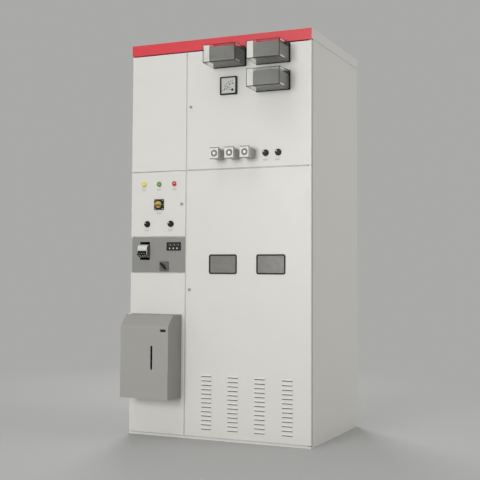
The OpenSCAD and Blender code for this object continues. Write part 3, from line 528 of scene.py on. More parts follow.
# white print and white parts, also a painted reflection on the relay strips and a painted glint on the relay
# cover ribs
whitePrint = mouldedPlastic("whitePrint", printAndGlintLook)
# black print, also painted shade in the screw slots and screw holes
blackInk = mouldedPlastic("blackInk", inkAndShadeLook)
tagPlastic = mouldedPlastic("tagPlastic", tagLook)
dimLamp = mouldedPlastic("dimLamp", dimLook)
mouthPaint = paintedSheet("mouthPaint", louvreShadeLook)
bandPlastic = mouldedPlastic("bandPlastic", knobShadeLook)
bodyPlastic = mouldedPlastic("bodyPlastic", litBodyLook)
ringPlastic = mouldedPlastic("ringPlastic", dishLook)
sealFoam = mouldedPlastic("sealFoam", foamLook)
print("finishes ready for", len(finishes), "slots")


# CAD nodes: their finish, and rounded copies where an edge shows

nodeSlots = {part["node"]: part["material_slot"] for part in frame["record"]["subparts"]}
for nodeName, node in nodes.items():
    node.data.materials.clear()
    node.data.materials.append(finishes[nodeSlots[nodeName]])

# Edge radius in mm, and the shortest edge in mm that takes it; folded sheets bring their own bends
edgeRadii = {
    "instrument_door": (0, 0), "main_door": (0, 0), "control_door": (0, 0), "upper_left_panel": (0, 0),
    "lower_left_panel": (0, 0), "switch_panel": (0, 0), "mechanism_cover": (1.6, 40),
    "header_strip": (1.0, 60), "roof_cap": (1.2, 60), "side_panels": (1.0, 200), "back_panels": (1.0, 200),
    "front_sill": (1.5, 60), "relay_bases": (1.5, 2), "relay_cases": (2.0, 12), "relay_covers": (1.1, 60),
    "meter_case": (1.2, 0.5), "signal_relay_fronts": (1.2, 1), "signal_relay_bodies": (1.0, 8),
    "upper_selector_bezels": (0.7, 1), "lower_selector_bezels": (0.7, 1), "upper_selector_knob_1": (1.0, 1),
    "upper_selector_knob_2": (1.0, 1), "lower_selector_knob_1": (1.0, 1), "lower_selector_knob_2": (1.0, 1),
    "lamp_bezels": (0.5, 1), "cam_switch_plate": (1.0, 1), "cam_switch_knob": (1.2, 1),
    "handle_plate": (1.2, 1), "selector_handle": (1.2, 1), "voltage_indicator": (0.8, 1),
    "miniature_breaker": (0.4, 8), "breaker_toggle": (0.7, 3), "window_gaskets": (1.2, 0.5),
    "cover_counter": (0.5, 8), "main_door_lock": (0.6, 1), "instrument_door_lock": (0.6, 1),
    "control_door_lock": (0.6, 1),
}
# Angles in degrees: faces closer than flat are joined, edges beyond sharp are rounded
roundLook = {"flat": 0.4, "sharp": 28, "segments": 3, "cleanUp": 0.002, "straight": 0.995}


def evenNormals(piece):  # large flat faces keep their own normals up to the rounded edge
    piece.modifiers.new("evenNormals", "WEIGHTED_NORMAL").keep_sharp = True
    bpy.context.view_layer.update()
    finished = bpy.data.meshes.new_from_object(piece.evaluated_get(bpy.context.evaluated_depsgraph_get()))
    piece.modifiers.clear()
    piece.data = finished


def roundedCopy(nodeName, radius, shortest):
    bm = weldedMesh(nodeName)
    bmesh.ops.dissolve_limit(bm, angle_limit=math.radians(roundLook["flat"]), verts=bm.verts, edges=bm.edges)
    band = bm.faces.layers.float.new("edgeBand")
    if radius:
        sharp = [edge for edge in bm.edges
                 if edge.is_manifold and edge.calc_length() >= shortest * mm
                 and edge.calc_face_angle() >= math.radians(roundLook["sharp"])]
        made = bmesh.ops.bevel(bm, geom=sharp, offset=radius * mm, offset_type="OFFSET",
                               segments=roundLook["segments"], profile=0.5, affect="EDGES",
                               clamp_overlap=True, material=-1)
        for face in made["faces"]:
            face[band] = 1.0
        bmesh.ops.dissolve_degenerate(bm, dist=roundLook["cleanUp"] * mm, edges=bm.edges)
    else:
        for face in bm.faces:  # the bends of a folded sheet are its only slanting faces
            face[band] = 0.0 if max(abs(c) for c in face.normal) > roundLook["straight"] else 1.0
    # painted light: the signal relay bodies take the lighter copy of the grey plastic
    material = bodyPlastic if nodeName == "signal_relay_bodies" else None
    piece = addPiece(nodeName + ".rounded", bm, nodeBody(nodeName), nodeSlots[nodeName], material)
    evenNormals(piece)
    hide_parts(nodeName)


for nodeName, (radius, shortest) in edgeRadii.items():
    roundedCopy(nodeName, radius, shortest)
print("rounded copies:", len(edgeRadii))


# Fittings that the solids leave out; sizes in mm, spans are from the bottom to the top of a plate

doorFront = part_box("control_door")[0].y
knobNodes = [name for name in nodes if "selector_knob" in name]

lensLook = {"rim": 0.4, "foot": 0.6, "step": 1.6, "stepSide": 0.6, "stepTop": 0.96, "dome": 0.90, "rise": 1.5,
            "arcs": 10}


def makeLenses():  # domed lamp lenses with a step round the foot
    bezels = solidBoxes("lamp_bezels")
    for nodeName in ("yellow_lens", "green_lens", "red_lens"):
        low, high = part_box(nodeName)
        centre = middle((low, high))
        bezel = min(bezels, key=lambda box: abs(middle(box).x - centre.x))
        radius = boxSize(bezel).x / 2 + lensLook["rim"]
        rise = (bezel[0].y - low.y) / mm + lensLook["rise"]
        foot, step = lensLook["foot"], lensLook["step"]
        profile = [(0, -foot), (radius, -foot), (radius, step * lensLook["stepSide"]),
                   (radius * lensLook["stepTop"], step)]
        for i in range(lensLook["arcs"]):
            angle = math.radians(90 * i / lensLook["arcs"])
            profile.append((radius * lensLook["dome"] * math.cos(angle),
                            step + (rise - step) * math.sin(angle)))
        bm = bmesh.new()
        addRevolve(bm, profile + [(0, rise)], onFace(centre.x, bezel[0].y, centre.z), steps=40)
        piece = addPiece(nodeName + ".dome", bm, nodeBody(nodeName), nodeSlots[nodeName], smoothAngle=40)
        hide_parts(nodeName)


indexLook = {"size": (4.2, 12.0), "corner": 1.2, "span": (-0.6, 0.6), "soften": 0.2, "inset": 1.0, "turn": 45}


def makeIndices():  # white line on the upper left end of each selector's grip
    for nodeName in knobNodes:
        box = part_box(nodeName)
        reach = boxSize(box).x / 2 - indexLook["inset"] - indexLook["size"][1] / 2
        bm = bmesh.new()
        addBar(bm, {**indexLook, "at": (0, reach)}, frontOf(box, indexLook["turn"]))
        addPiece(nodeName.replace("knob", "index"), bm, nodeBody(nodeName), "pale_plastic", whitePrint)


# Profiles are radius and height pairs; each tick has its angle and its distance from the middle
camLook = {
    "plateOut": 8.0, "screwInset": 7.5,
    "screw": [(0, 0), (3.4, 0), (3.4, 0.81), (2.924, 1.404), (1.7, 1.728), (0, 1.8)],
    "slot": (5.2, 0.9), "slotSpan": (1.0, 1.86), "tick": (5.0, 1.8), "tickSpan": (-0.3, 0.3),
    "ticks": {-45: 39.6, 0: 33.0, 45: 39.6}, "discOut": 20.0,
    "discBand": {"size": (43.0, 9.0), "corner": 2.5, "at": (0.0, -8.5), "span": (-0.4, 1.2), "soften": 0.4},
    "gripBand": {"size": (39.0, 6.0), "corner": 2.0, "at": (-1.0, -3.2), "span": (-0.4, 0.3)},
    "tipRoot": 0.55, "tipEnds": (6.0, -4.0), "tipPoint": (4.0, 1.0), "tipSpan": (-2.0, 3.5), "tipSoften": 0.6,
}


def makeCamMarks():  # plate screws with slots of painted shade, three position ticks, painted shade under the knob's grip, and its tip
    plate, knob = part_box("cam_switch_plate"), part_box("cam_switch_knob")
    centre = middle(plate)
    front = doorFront - camLook["plateOut"] * mm
    reach = (boxSize(plate).x / 2 - camLook["screwInset"]) * mm
    screws, slots, ticks, band, tip = newMeshes(5)
    for sx in (-1, 1):
        for sz in (-1, 1):
            place = onFace(centre.x + sx * reach, front, centre.z + sz * reach, 30 * sx + 15 * sz)
            addRevolve(screws, camLook["screw"], place, steps=24)
            # painted shade: a black bar for the shade in each screw's slot
            addSlab(slots, barOutline(*camLook["slot"]), *camLook["slotSpan"], place)
    for angle, along in camLook["ticks"].items():
        tick = shifted(barOutline(*camLook["tick"]), along, 0)
        addSlab(ticks, tick, *camLook["tickSpan"], onFace(centre.x, front, centre.z, angle))
    disc = onFace(centre.x, doorFront - camLook["discOut"] * mm, centre.z)
    # painted shade: a dark band on the disc and on the grip's face, for the shade under the grip
    addBar(band, camLook["discBand"], disc)
    addBar(band, camLook["gripBand"], onFace(centre.x, knob[0].y, centre.z))
    reach = boxSize(knob).x / 2
    point, rise = camLook["tipPoint"]
    ends = [(reach * camLook["tipRoot"], y) for y in camLook["tipEnds"]]
    addSlab(tip, ends + [(reach + point, rise)], *camLook["tipSpan"], disc, camLook["tipSoften"])
    addPiece("cam_plate_screws", screws, "control_door", "zinc_steel")
    addPiece("cam_screw_slots", slots, "control_door", "black_plastic", blackInk)
    addPiece("cam_plate_ticks", ticks, "control_door", "pale_plastic", whitePrint)
    addPiece("cam_knob_band", band, "cam_switch", "knob_yellow", bandPlastic)
    addPiece("cam_knob_tip", tip, "cam_switch", "knob_yellow")


meterLook = {
    "pivot": (29.0, -29.0), "printSpan": (-0.2, 0.25), "arcRadius": 58.0, "arcWidth": 1.8, "arcSteps": 24,
    "majors": 3, "minors": 5, "majorTick": (9.0, 1.8), "minorTick": (5.0, 1.08), "numberSize": 14.0,
    "numberRadius": 43.0, "numberThick": 0.12, "numberBold": 0.45, "numberOut": 0.13, "needle": (60.0, 1.6),
    "needleSpan": (1.9, 2.4), "needleAngle": 171.0, "hubOut": 1.4,
    "hub": [(0, 0), (8.0, 0), (8.0, 1.2), (6.4, 1.7), (0, 1.7)],
    "coverInset": 1.0, "coverSpan": (-0.2, 1.6), "coverSoften": 0.5, "waveSteps": 20,
    "waveHeight": -24.0, "waveSwing": 14.0, "waveLag": 0.25, "ripple": 3.0, "rippleStep": 0.9, "lipEnd": 15,
    "lipWidth": 1.6, "lipSpan": (1.0, 1.75),
}


def dialPoint(radius, angle):
    x, y = meterLook["pivot"]
    return x + radius * math.cos(math.radians(angle)), y + radius * math.sin(math.radians(angle))


def addSpoke(bm, size, span, distance, angle, place):  # a bar on the dial that points away from the pivot
    x, y = dialPoint(distance, angle)
    turned = Matrix.Translation((x * mm, y * mm, 0)) @ Matrix.Rotation(math.radians(angle), 4, "Z")
    addSlab(bm, barOutline(*size), *span, place @ turned)


def makeMeterNumber(index, place):
    x, y = dialPoint(meterLook["numberRadius"], 180 - 90 * index / meterLook["majors"])
    letters = bpy.data.curves.new("meterNumber", "FONT")
    letters.body = str(index * 10)
    letters.size = meterLook["numberSize"] * mm
    letters.align_x, letters.align_y = "CENTER", "CENTER"
    letters.extrude = meterLook["numberThick"] * mm
    letters.offset = meterLook["numberBold"] * mm
    holder = bpy.data.objects.new("meterNumber", letters)
    flat = bmesh.new()
    flat.from_mesh(bpy.data.meshes.new_from_object(holder))
    bpy.data.objects.remove(holder)
    flat.transform(place @ Matrix.Translation((x * mm, y * mm, meterLook["numberOut"] * mm)))
    addPiece("meter_number_%d" % index, flat, "instrument_door", "black_plastic", blackInk)


def makeMeterFace():  # quadrant scale with plain numbers, its needle and the cover over the movement
    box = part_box("meter_dial")
    place = frontOf(box)
    scale, cover, lip, needle = newMeshes(4)
    radius, half, arcSteps = meterLook["arcRadius"], meterLook["arcWidth"] / 2, meterLook["arcSteps"]
    outer, inner = [[dialPoint(edge, 90 + 90 * i / arcSteps) for i in range(arcSteps + 1)]
                    for edge in (radius + half, radius - half)]
    addSlab(scale, outer + inner[::-1], *meterLook["printSpan"], place)
    ticks = meterLook["majors"] * meterLook["minors"]
    for i in range(ticks + 1):
        size = meterLook["minorTick" if i % meterLook["minors"] else "majorTick"]
        addSpoke(scale, size, meterLook["printSpan"], radius + size[0] / 2, 180 - 90 * i / ticks, place)
    addPiece("meter_scale", scale, "instrument_door", "black_plastic", blackInk)
    for i in range(meterLook["majors"] + 1):
        makeMeterNumber(i, place)
    side = boxSize(box).x / 2 - meterLook["coverInset"]
    wave = []
    for i in range(meterLook["waveSteps"] + 1):
        along = i / meterLook["waveSteps"]
        swing = meterLook["waveSwing"] * math.sin(math.pi * (along - meterLook["waveLag"]))
        ripple = meterLook["ripple"] * math.sin(i * meterLook["rippleStep"])
        wave.append((-side + 2 * side * along, meterLook["waveHeight"] + swing + ripple))
    addSlab(cover, [(side, -side)] + wave[::-1] + [(-side, -side)], *meterLook["coverSpan"], place,
            meterLook["coverSoften"])
    addPiece("meter_movement_cover", cover, "instrument_door", "pale_plastic")
    edge = wave[:meterLook["lipEnd"]]
    addSlab(lip, shifted(edge, 0, -meterLook["lipWidth"]) + edge[::-1], *meterLook["lipSpan"], place)
    addPiece("meter_cover_lip", lip, "instrument_door", "black_plastic", blackInk)
    addSpoke(needle, meterLook["needle"], meterLook["needleSpan"], meterLook["needle"][0] / 2,
             meterLook["needleAngle"], place)
    x, y = meterLook["pivot"]
    hub = place @ Matrix.Translation((x * mm, y * mm, meterLook["hubOut"] * mm))
    addRevolve(needle, meterLook["hub"], hub, steps=28)
    addPiece("meter_needle", needle, "instrument_door", "black_plastic", blackInk)


signalLook = {
    "ring": [(10.0, -0.3), (21.6, -4.0), (21.6, -0.8), (20.52, 0.2), (10.0, 1.4)],
    "button": [(0, -0.3), (10.0, -0.3), (10.0, 1.8), (8.0, 2.4), (0, 2.8)],
    "border": 4.4, "borderShort": 2.0, "borderSpan": (-1.0, 0.3),
}


def makeSignalFaces():  # grey dished ring, white button and painted shade along the top, bottom and right edges of each signal relay front
    rings, buttons, edgeShade = newMeshes(3)
    edge = signalLook["border"]
    for box in solidBoxes("signal_relay_fronts"):
        place = frontOf(box)
        addRing(rings, signalLook["ring"], place, steps=36)
        addRevolve(buttons, signalLook["button"], place, steps=28)
        width, _, height = boxSize(box)
        # painted shade: dark bars on the top, bottom and right edges of the front, none on the left
        level = barOutline(width - signalLook["borderShort"], edge)
        upright = barOutline(edge, height - 2 * edge)
        for bar, x, y in ((level, 0, (height - edge) / 2), (level, 0, (edge - height) / 2),
                          (upright, (width - edge) / 2, 0)):
            addSlab(edgeShade, shifted(bar, x, y), *signalLook["borderSpan"], place)
    addPiece("signal_relay_rings", rings, "instrument_door", "grey_plastic", ringPlastic)
    addPiece("signal_relay_buttons", buttons, "instrument_door", "pale_plastic", whitePrint)
    addPiece("signal_relay_borders", edgeShade, "instrument_door", "dark_grey_plastic")


indicatorLook = {
    "pitch": 30.0, "rise": 11.0, "socketPitch": 28.0, "socketDrop": 13.0,
    "frame": {"size": (26.0, 19.0), "corner": 2.5, "span": (-0.3, 0.5), "soften": 0.3},
    "window": {"size": (22.0, 15.0), "corner": 1.5, "span": (0.1, 0.9), "soften": 0.3},
    "socket": [(1.7, -2.0), (4.7, -2.0), (4.7, 0.4), (1.7, 0.4)],
}


def makeIndicatorFace():  # three lamp windows above three test sockets
    low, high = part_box("voltage_indicator")
    centre = middle((low, high))
    frames, windows, sockets = newMeshes(3)
    for i in (-1, 0, 1):
        place = onFace(centre.x + i * indicatorLook["pitch"] * mm, low.y,
                       centre.z + indicatorLook["rise"] * mm)
        addBar(frames, indicatorLook["frame"], place)
        addBar(windows, indicatorLook["window"], place)
        place = onFace(centre.x + i * indicatorLook["socketPitch"] * mm, low.y,
                       centre.z - indicatorLook["socketDrop"] * mm)
        addRing(sockets, indicatorLook["socket"], place, steps=24)
    addPiece("indicator_frames", frames, "cabinet", "black_plastic")
    addPiece("indicator_windows", windows, "cabinet", "grey_plastic", dimLamp)
    addPiece("indicator_sockets", sockets, "cabinet", "pale_plastic", whitePrint)


# Places on the shoulder are the distance out of the panel and the height over the middle
poleLook = {
    "poles": 4, "tilt": -42.0, "holeAt": (29.0, 36.0),
    "hole": [(0, -2.0), (2.7, -2.0), (2.7, 0.5), (1.89, 0.3), (0, 0.2)],
    "label": {"size": (11.0, 9.0), "corner": 1.0, "span": (-0.3, 0.25)}, "labelRise": 9.0,
    "lineAt": (30.0, 33.0), "line": (1.8, 24.0), "lineSpan": (-3.0, 0.4), "endSlack": 0.05, "endThick": 0.5,
    "skirtWidth": 12.6, "skirtFoot": (6.0, 21.0), "skirtCurve": (32.0, 22.0), "skirtLift": (-0.8, 0.5),
    "skirtAngles": (90, 78, 66, 54, 42, 30, 22),
}


def skirtOutline(lift):  # points along the breaker's lower shoulder: distance out of the panel, height
    points = []
    out, drop = poleLook["skirtFoot"]
    wide, tall = poleLook["skirtCurve"]
    for angle in poleLook["skirtAngles"]:
        s, c = math.sin(math.radians(angle)), math.cos(math.radians(angle))
        norm = math.hypot(tall * s, wide * c)
        points.append((out + wide * s + lift * tall * s / norm, -(drop + tall * c + lift * wide * c / norm)))
    return points


def breakerEnds(low, high):  # thin dark plates grown from the two end faces of the breaker, painted shade on its sides
    ends = weldedMesh("miniature_breaker")
    slack, centre = poleLook["endSlack"] * mm, middle((low, high))
    inner = [face for face in ends.faces
             if not (all(v.co.x <= low.x + slack for v in face.verts)
                     or all(v.co.x >= high.x - slack for v in face.verts))]
    bmesh.ops.delete(ends, geom=inner, context="FACES")
    grown = bmesh.ops.extrude_face_region(ends, geom=list(ends.faces))
    for vert in (item for item in grown["geom"] if isinstance(item, bmesh.types.BMVert)):
        vert.co.x += math.copysign(poleLook["endThick"] * mm, vert.co.x - centre.x)
    return ends


def makeBreakerDetails():  # black discs of painted shade in the screw holes, a blank label and a dark lower cap, partly painted shade, on each pole, and dark end plates of painted shade
    low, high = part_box("miniature_breaker")
    centre = middle((low, high))
    pole = (high.x - low.x) / poleLook["poles"]
    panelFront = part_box("switch_panel")[0].y
    holes, labels, skirts, lines = newMeshes(4)

    def onShoulder(x, out, up):
        place = onFace(x, panelFront - out * mm, centre.z + up * mm)
        return place @ Matrix.Rotation(math.radians(poleLook["tilt"]), 4, "X")

    below, above = [skirtOutline(lift) for lift in poleLook["skirtLift"]]
    half = poleLook["skirtWidth"] / 2
    for i in range(poleLook["poles"]):
        x = low.x + (i + 0.5) * pole
        # painted shade: a black disc for the shade in the pole's screw hole
        addRevolve(holes, poleLook["hole"], onShoulder(x, *poleLook["holeAt"]), steps=20)
        # a dark cap on the lower shoulder, partly a black part and partly painted shade of the lever recess
        sideways = Matrix(((0, 0, -1, x), (-1, 0, 0, panelFront), (0, 1, 0, centre.z), (0, 0, 0, 1)))
        addSlab(skirts, below[::-1] + above, -half, half, sideways)
        addBar(labels, poleLook["label"], onFace(x, low.y, centre.z + poleLook["labelRise"] * mm), steps=3)
    for i in range(1, poleLook["poles"]):
        place = onShoulder(low.x + i * pole, *poleLook["lineAt"])
        addSlab(lines, barOutline(*poleLook["line"]), *poleLook["lineSpan"], place)
    # painted shade: dark plates on both ends, for the shaded sides of the breaker
    addPiece("breaker_end_plates", breakerEnds(low, high), "cabinet", "dark_grey_plastic")
    addPiece("breaker_pole_lines", lines, "cabinet", "grey_plastic", ringPlastic)
    addPiece("breaker_screw_holes", holes, "cabinet", "black_plastic", blackInk)
    addPiece("breaker_lower_caps", skirts, "cabinet", "black_plastic")
    addPiece("breaker_labels", labels, "cabinet", "pale_plastic", tagPlastic)


plateLook = {"height": 9.0, "corner": 1.5, "span": (-0.2, 0.8), "soften": 0.25}
# Middle and width of each blank label plate, and its body
platePlaces = [
    (-551, 1647, 30, "control_door"), (-437, 1647, 30, "control_door"), (-319, 1647, 30, "control_door"),
    (-435, 1487, 34, "control_door"), (-527, 1372, 34, "control_door"), (-347, 1372, 34, "control_door"),
    (341, 1818, 34, "instrument_door"), (424, 1818, 34, "instrument_door"),
]


def makeLabelPlates():
    for number, (x, z, width, body) in enumerate(platePlaces, 1):
        bm = bmesh.new()
        addBar(bm, {**plateLook, "size": (width, plateLook["height"])}, onFace(x * mm, doorFront, z * mm))
        addPiece("label_plate_%d" % number, bm, body, "pale_plastic", tagPlastic)


relayLook = {
    "wall": 2.5, "draft": 3.0, "air": 0.8, "stripWidth": 41.0, "stripGap": 0.7,
    "strip": {"corner": 1.5, "span": (-1.2, 0.0), "soften": 0.3}, "trim": 4.5, "trimSpan": (-0.4, 0.5),
    "soleShort": 2.0, "ribBack": 14.0, "ribInset": 7.0,
    "rib": {"size": (8.0, 64.0), "corner": 3.0, "span": (-0.4, 1.2), "soften": 0.4},
}


def cornerOutline(width, height, trim):  # a strip of painted shade along the lower and the right edge of a rectangle
    x0, x1 = (width - trim) / 2, (width + trim) / 2
    y0, y1 = (height - trim) / 2, (height + trim) / 2
    return [(-x1, -y1), (x1, -y1), (x1, y1), (x0, y1), (x0, -y0), (-x1, -y0)]


def addCoverRibs(bm, box):  # a rib near the top and the foot of both sides, which lean by the cover's draft; white, as a painted glint
    low, high = box
    height, length = relayLook["rib"]["size"]
    depth, draft = boxSize(box).y, relayLook["draft"]
    back = relayLook["ribBack"] + length / 2
    rise = (relayLook["ribInset"] + height / 2) * mm
    for side, x in ((-1, low.x), (1, high.x)):
        x -= side * draft * (1 - back / depth) * mm
        for z in (low.z + rise, high.z - rise):
            place = Matrix.Translation((x, low.y + back * mm, z)) \
                @ Matrix.Rotation(-side * math.atan(draft / depth), 4, "Z") \
                @ Matrix.Rotation(math.radians(90 * side), 4, "Y")
            addBar(bm, relayLook["rib"], place)


def makeRelayDetails():  # white strip beside the case, partly painted reflection; painted shade on the case's lower and right edges and underside; ribs on the cover's sides, white as a painted glint
    strips, shadeSlabs, ribs = newMeshes(3)
    inset = relayLook["wall"] + relayLook["draft"] + relayLook["air"]
    for cover, case in zip(solidBoxes("relay_covers"), solidBoxes("relay_cases")):
        low, centre, size = cover[0], middle(cover), boxSize(cover)
        front = low.y + (relayLook["wall"] + relayLook["stripGap"]) * mm
        wide, tall = size.x - 2 * inset, size.z - 2 * inset
        # the white strip is partly a pale part inside the cover and partly a painted reflection of the clear
        # cover
        width = relayLook["stripWidth"]
        place = onFace(low.x + (inset + width / 2) * mm, front, centre.z)
        addBar(strips, {**relayLook["strip"], "size": (width, tall)}, place, steps=3)
        # painted shade: a dark strip along the lower and right edges of the case front
        corner = cornerOutline(wide, tall, relayLook["trim"])
        addSlab(shadeSlabs, corner, *relayLook["trimSpan"], onFace(centre.x, front, centre.z))
        # painted shade: a black slab under the case, for the shade on its underside
        middleX, middleY, _ = middle(case)
        underShade = faceOut((middleX, middleY, case[0].z), (0, 0, -1))
        across, along, _ = underShade.inverted().to_3x3() @ boxSize(case)
        short = relayLook["soleShort"]
        addSlab(shadeSlabs, barOutline(abs(across) - short, abs(along) - short), *relayLook["trimSpan"], underShade)
        # the ribs are white as a painted glint near the front corners of the cover's sides
        addCoverRibs(ribs, cover)
    addPiece("relay_white_strips", strips, "instrument_door", "pale_plastic", whitePrint)
    addPiece("relay_edge_trims", shadeSlabs, "instrument_door", "black_plastic")
    addPiece("relay_cover_ribs", ribs, "instrument_door", "pale_plastic", whitePrint)


sealLook = {"width": 13.0, "rise": 6.5, "soften": 2.0}
# Left, right, bottom and top edge of each door's seal on the frame
sealFrames = {
    "instrument_seal": (-228, 626, 1776, 2570),
    "main_seal": (-228, 626, 20, 1765),
    "control_seal": (-626, -237, 1333, 1765),
}


def makeSeals():  # foam strips that the closed doors press on; the instrument seal has no upper run
    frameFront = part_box("frame_posts")[0].y
    width = sealLook["width"]
    for name, (left, right, bottom, top) in sealFrames.items():
        bm = bmesh.new()
        x, z = (left + right) / 2, (bottom + top) / 2
        upright = barOutline(width, top - bottom)
        level = barOutline(right - left - 2 * width, width)
        runs = [(upright, left + width / 2, z), (upright, right - width / 2, z),
                (level, x, bottom + width / 2)]
        if name != "instrument_seal":
            runs.append((level, x, top - width / 2))
        for bar, x, z in runs:
            addSlab(bm, bar, 0.0, sealLook["rise"], onFace(x * mm, frameFront, z * mm), sealLook["soften"])
        addPiece(name, bm, "cabinet", "window_rubber", sealFoam)


louvreLook = {"left": -71.5, "pitchX": 188.0, "columns": 4, "lowest": 73.0, "pitchZ": 28.4, "rows": 13,
              "size": (71.0, 6.5), "corner": 2.0, "span": (-0.8, 0.3)}


def makeLouvreMouthShade():  # painted shade: a dark slab in the mouth under each louvre hood, where there is only shade
    bm = bmesh.new()
    for column in range(louvreLook["columns"]):
        for row in range(louvreLook["rows"]):
            x = louvreLook["left"] + column * louvreLook["pitchX"]
            z = louvreLook["lowest"] + row * louvreLook["pitchZ"] - louvreLook["size"][1] / 2
            addBar(bm, louvreLook, onFace(x * mm, doorFront, z * mm), steps=3)
    addPiece("louvre_mouths", bm, "main_door", "body_paint", mouthPaint)


lipLook = {"width": 3.4, "setBack": 3.0, "leftBack": 7.0, "soften": 0.4, "pivotClear": 21.0,
           "plainClear": 2.0, "footWidth": 4.2, "footBack": 1.0}


def makeLips():  # lips of the frame that show in the seams between doors and panels
    bm = bmesh.new()
    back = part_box("frame_posts")[0].y
    half, footHalf = lipLook["width"] * mm / 2, lipLook["footWidth"] * mm / 2
    clear, plain = lipLook["pivotClear"] * mm, lipLook["plainClear"] * mm

    def addLip(x0, x1, z0, z1, setBack):
        bar = barOutline((x1 - x0) / mm, (z1 - z0) / mm)
        place = onFace((x0 + x1) / 2, back, (z0 + z1) / 2)
        addSlab(bm, bar, 0.0, (back - doorFront) / mm - setBack, place, lipLook["soften"])

    leftNodes = ["lower_left_panel", "switch_panel", "control_door", "upper_left_panel"]
    leftBoxes = [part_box(name) for name in leftNodes]
    rightBoxes = [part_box(name) for name in ("main_door", "instrument_door")]
    seamX = (max(box[1].x for box in leftBoxes) + min(box[0].x for box in rightBoxes)) / 2
    rightEnd = rightBoxes[0][1].x - clear
    addLip(seamX - half, seamX + half, rightBoxes[0][0].z, rightBoxes[1][1].z, lipLook["setBack"])
    for below, above in zip(leftBoxes, leftBoxes[1:]):
        z = (below[1].z + above[0].z) / 2
        start = below[0].x + (plain if below is leftBoxes[0] else clear)
        addLip(start, seamX - half, z - half, z + half, lipLook["leftBack"])
    z = (rightBoxes[0][1].z + rightBoxes[1][0].z) / 2
    addLip(seamX + half, rightEnd, z - half, z + half, lipLook["setBack"])
    z = (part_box("front_sill")[1].z + rightBoxes[0][0].z) / 2
    addLip(leftBoxes[0][0].x + plain, rightEnd, z - footHalf, z + footHalf, lipLook["footBack"])
    addPiece("frame_lips", bm, "cabinet", "body_paint")


boltLook = {"washer": [(0, -0.3), (8.5, -0.3), (8.5, 0.63), (8.075, 0.9), (0, 0.9)], "head": 6.5,
            "headSpan": (0.9, 3.5), "soften": 0.5, "turn": 17, "edge": 22.0, "pitch": 420.0}


def makeBackBolts():  # hexagon bolts round both back panels, below the skirt of the roof cap
    bm = bmesh.new()
    edge = boltLook["edge"] * mm
    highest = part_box("roof_cap")[0].z - edge
    for low, high in solidBoxes("back_panels"):
        spans = []
        for a, b in ((low.x + edge, high.x - edge), (low.z + edge, high.z - edge)):
            count = max(2, round((b - a) / (boltLook["pitch"] * mm)) + 1)
            spans.append([a + (b - a) * i / (count - 1) for i in range(count)])
        columns, rows = spans
        places = [(x, z) for x in columns for z in (rows[0], rows[-1])]
        places += [(x, z) for x in (columns[0], columns[-1]) for z in rows[1:-1]]
        for number, (x, z) in enumerate(places):
            place = faceOut((x, high.y, min(z, highest)), (0, 1, 0))
            addRevolve(bm, boltLook["washer"], place, steps=24)
            head = hexOutline(boltLook["head"], number * boltLook["turn"])
            addSlab(bm, head, *boltLook["headSpan"], place, boltLook["soften"])
    addPiece("back_panel_bolts", bm, "cabinet", "zinc_steel")


makeLenses()
makeIndices()
makeCamMarks()
makeMeterFace()
makeSignalFaces()
makeIndicatorFace()
makeBreakerDetails()
makeLabelPlates()
makeRelayDetails()
makeSeals()
makeLouvreMouthShade()
makeLips()
makeBackBolts()
print("fittings ready")


# Stage, light and camera, in metres; the floor's rings are in mm

stageLook = {"floor": (0.45, 0.45, 0.442, 1), "roughness": 0.9, "backdrop": (0.40, 0.40, 0.393, 1),
             "rings": (2000, 6000, 15000, 60000), "fade": (0.9, 4.6)}


def addSeen(tree):  # 1 for the rays that show the background, 0 for those that light the object
    path = addNode(tree, "ShaderNodeLightPath")
    mirrored = addMath(tree, "MAXIMUM", path.outputs["Is Glossy Ray"], path.outputs["Is Transmission Ray"])
    return addMath(tree, "MAXIMUM", path.outputs["Is Camera Ray"], mirrored)


def blendShaders(tree, factor, first, second, output):
    blend = addNode(tree, "ShaderNodeMixShader")
    for source, socket in zip((factor, first.outputs[0], second.outputs[0]), blend.inputs):
        tree.links.new(source, socket)
    tree.links.new(blend.outputs[0], tree.nodes[output].inputs["Surface"])


def makeStage():  # large floor that fades into the backdrop colour far from the object
    bm = bmesh.new()
    addRevolve(bm, [(0, 0)] + [(ring, 0) for ring in stageLook["rings"]], Matrix.Identity(4), steps=64)
    mesh = bpy.data.meshes.new("studioFloor")
    bm.to_mesh(mesh)
    bm.free()
    material, tree, shader = newMaterial("studioPaper")
    shader.inputs["Base Color"].default_value = stageLook["floor"]
    shader.inputs["Roughness"].default_value = stageLook["roughness"]
    glow = addNode(tree, "ShaderNodeEmission", Color=stageLook["backdrop"], Strength=1.0)
    apart = addNode(tree, "ShaderNodeVectorMath", {"operation": "LENGTH"})
    tree.links.new(addNode(tree, "ShaderNodeTexCoord").outputs["Object"], apart.inputs[0])
    far = addRange(tree, apart.outputs["Value"], *stageLook["fade"], 0.0, 1.0)
    blendShaders(tree, addMath(tree, "MULTIPLY", far, addSeen(tree)), shader, glow, "Material Output")
    mesh.materials.append(material)
    floor = bpy.data.objects.new("studioFloor", mesh)
    scene.collection.objects.link(floor)


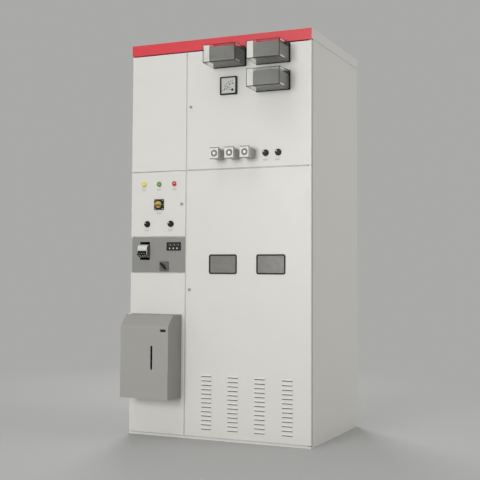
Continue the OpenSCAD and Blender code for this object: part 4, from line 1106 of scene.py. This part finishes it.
lampLooks = {
    "key": {"place": (-0.7, -8.6, 2.2), "aim": (0.0, -0.5, 1.0), "size": (3.2, 3.2), "watts": 384},
    "fill": {"place": (5.6, 0.5, 2.8), "aim": (0.5, 0.0, 1.2), "size": (3.0, 3.0), "watts": 106},
    "top": {"place": (-0.4, -3.2, 6.4), "aim": (0.0, -0.5, 1.2), "size": (3.0, 3.0), "watts": 60},
    "back": {"place": (-2.6, 4.6, 4.2), "aim": (0.0, 0.2, 1.4), "size": (2.5, 2.5), "watts": 190},
}
worldLook = {"colour": (1.0, 0.995, 0.985, 1), "strength": 0.33}


def makeLights():
    for name, look in lampLooks.items():
        data = bpy.data.lights.new(name + "Light", "AREA")
        data.shape = "RECTANGLE"
        data.size, data.size_y = look["size"]
        data.energy = look["watts"]
        lamp = bpy.data.objects.new(name + "Light", data)
        lamp.location = look["place"]
        lamp.rotation_mode = "QUATERNION"
        lamp.rotation_quaternion = (Vector(look["aim"]) - Vector(look["place"])).to_track_quat("-Z", "Y")
        scene.collection.objects.link(lamp)


def makeWorld():  # even light on the object, and the backdrop colour where the background is seen
    world = bpy.data.worlds.new("studioWorld")
    world.use_nodes = True
    tree = world.node_tree
    plain = tree.nodes["Background"]
    plain.inputs["Color"].default_value = worldLook["colour"]
    plain.inputs["Strength"].default_value = worldLook["strength"]
    backdrop = addNode(tree, "ShaderNodeBackground", Color=stageLook["backdrop"], Strength=1.0)
    blendShaders(tree, addSeen(tree), plain, backdrop, "World Output")
    scene.world = world


cameraLook = {"place": (2.656, -6.222, 1.089), "yaw": 24.98, "pitch": 3.38, "roll": 0.39, "lens": 72.08,
              "sensor": 36.0, "shift": (0.05, -0.05)}


def makeCamera():
    yaw, pitch, roll = [math.radians(cameraLook[key]) for key in ("yaw", "pitch", "roll")]
    ahead = Vector((-math.sin(yaw) * math.cos(pitch), math.cos(yaw) * math.cos(pitch), math.sin(pitch)))
    data = bpy.data.cameras.new("photoCamera")
    data.lens = cameraLook["lens"]
    data.sensor_width = cameraLook["sensor"]
    data.shift_x, data.shift_y = cameraLook["shift"]
    camera = bpy.data.objects.new("photoCamera", data)
    camera.location = cameraLook["place"]
    camera.rotation_mode = "QUATERNION"
    level = ahead.to_track_quat("-Z", "Y").to_matrix()
    camera.rotation_quaternion = (level @ Matrix.Rotation(roll, 3, "Z")).to_quaternion()
    scene.collection.objects.link(camera)
    scene.camera = camera


makeStage()
makeLights()
makeWorld()
makeCamera()
print("stage, lights and camera ready")
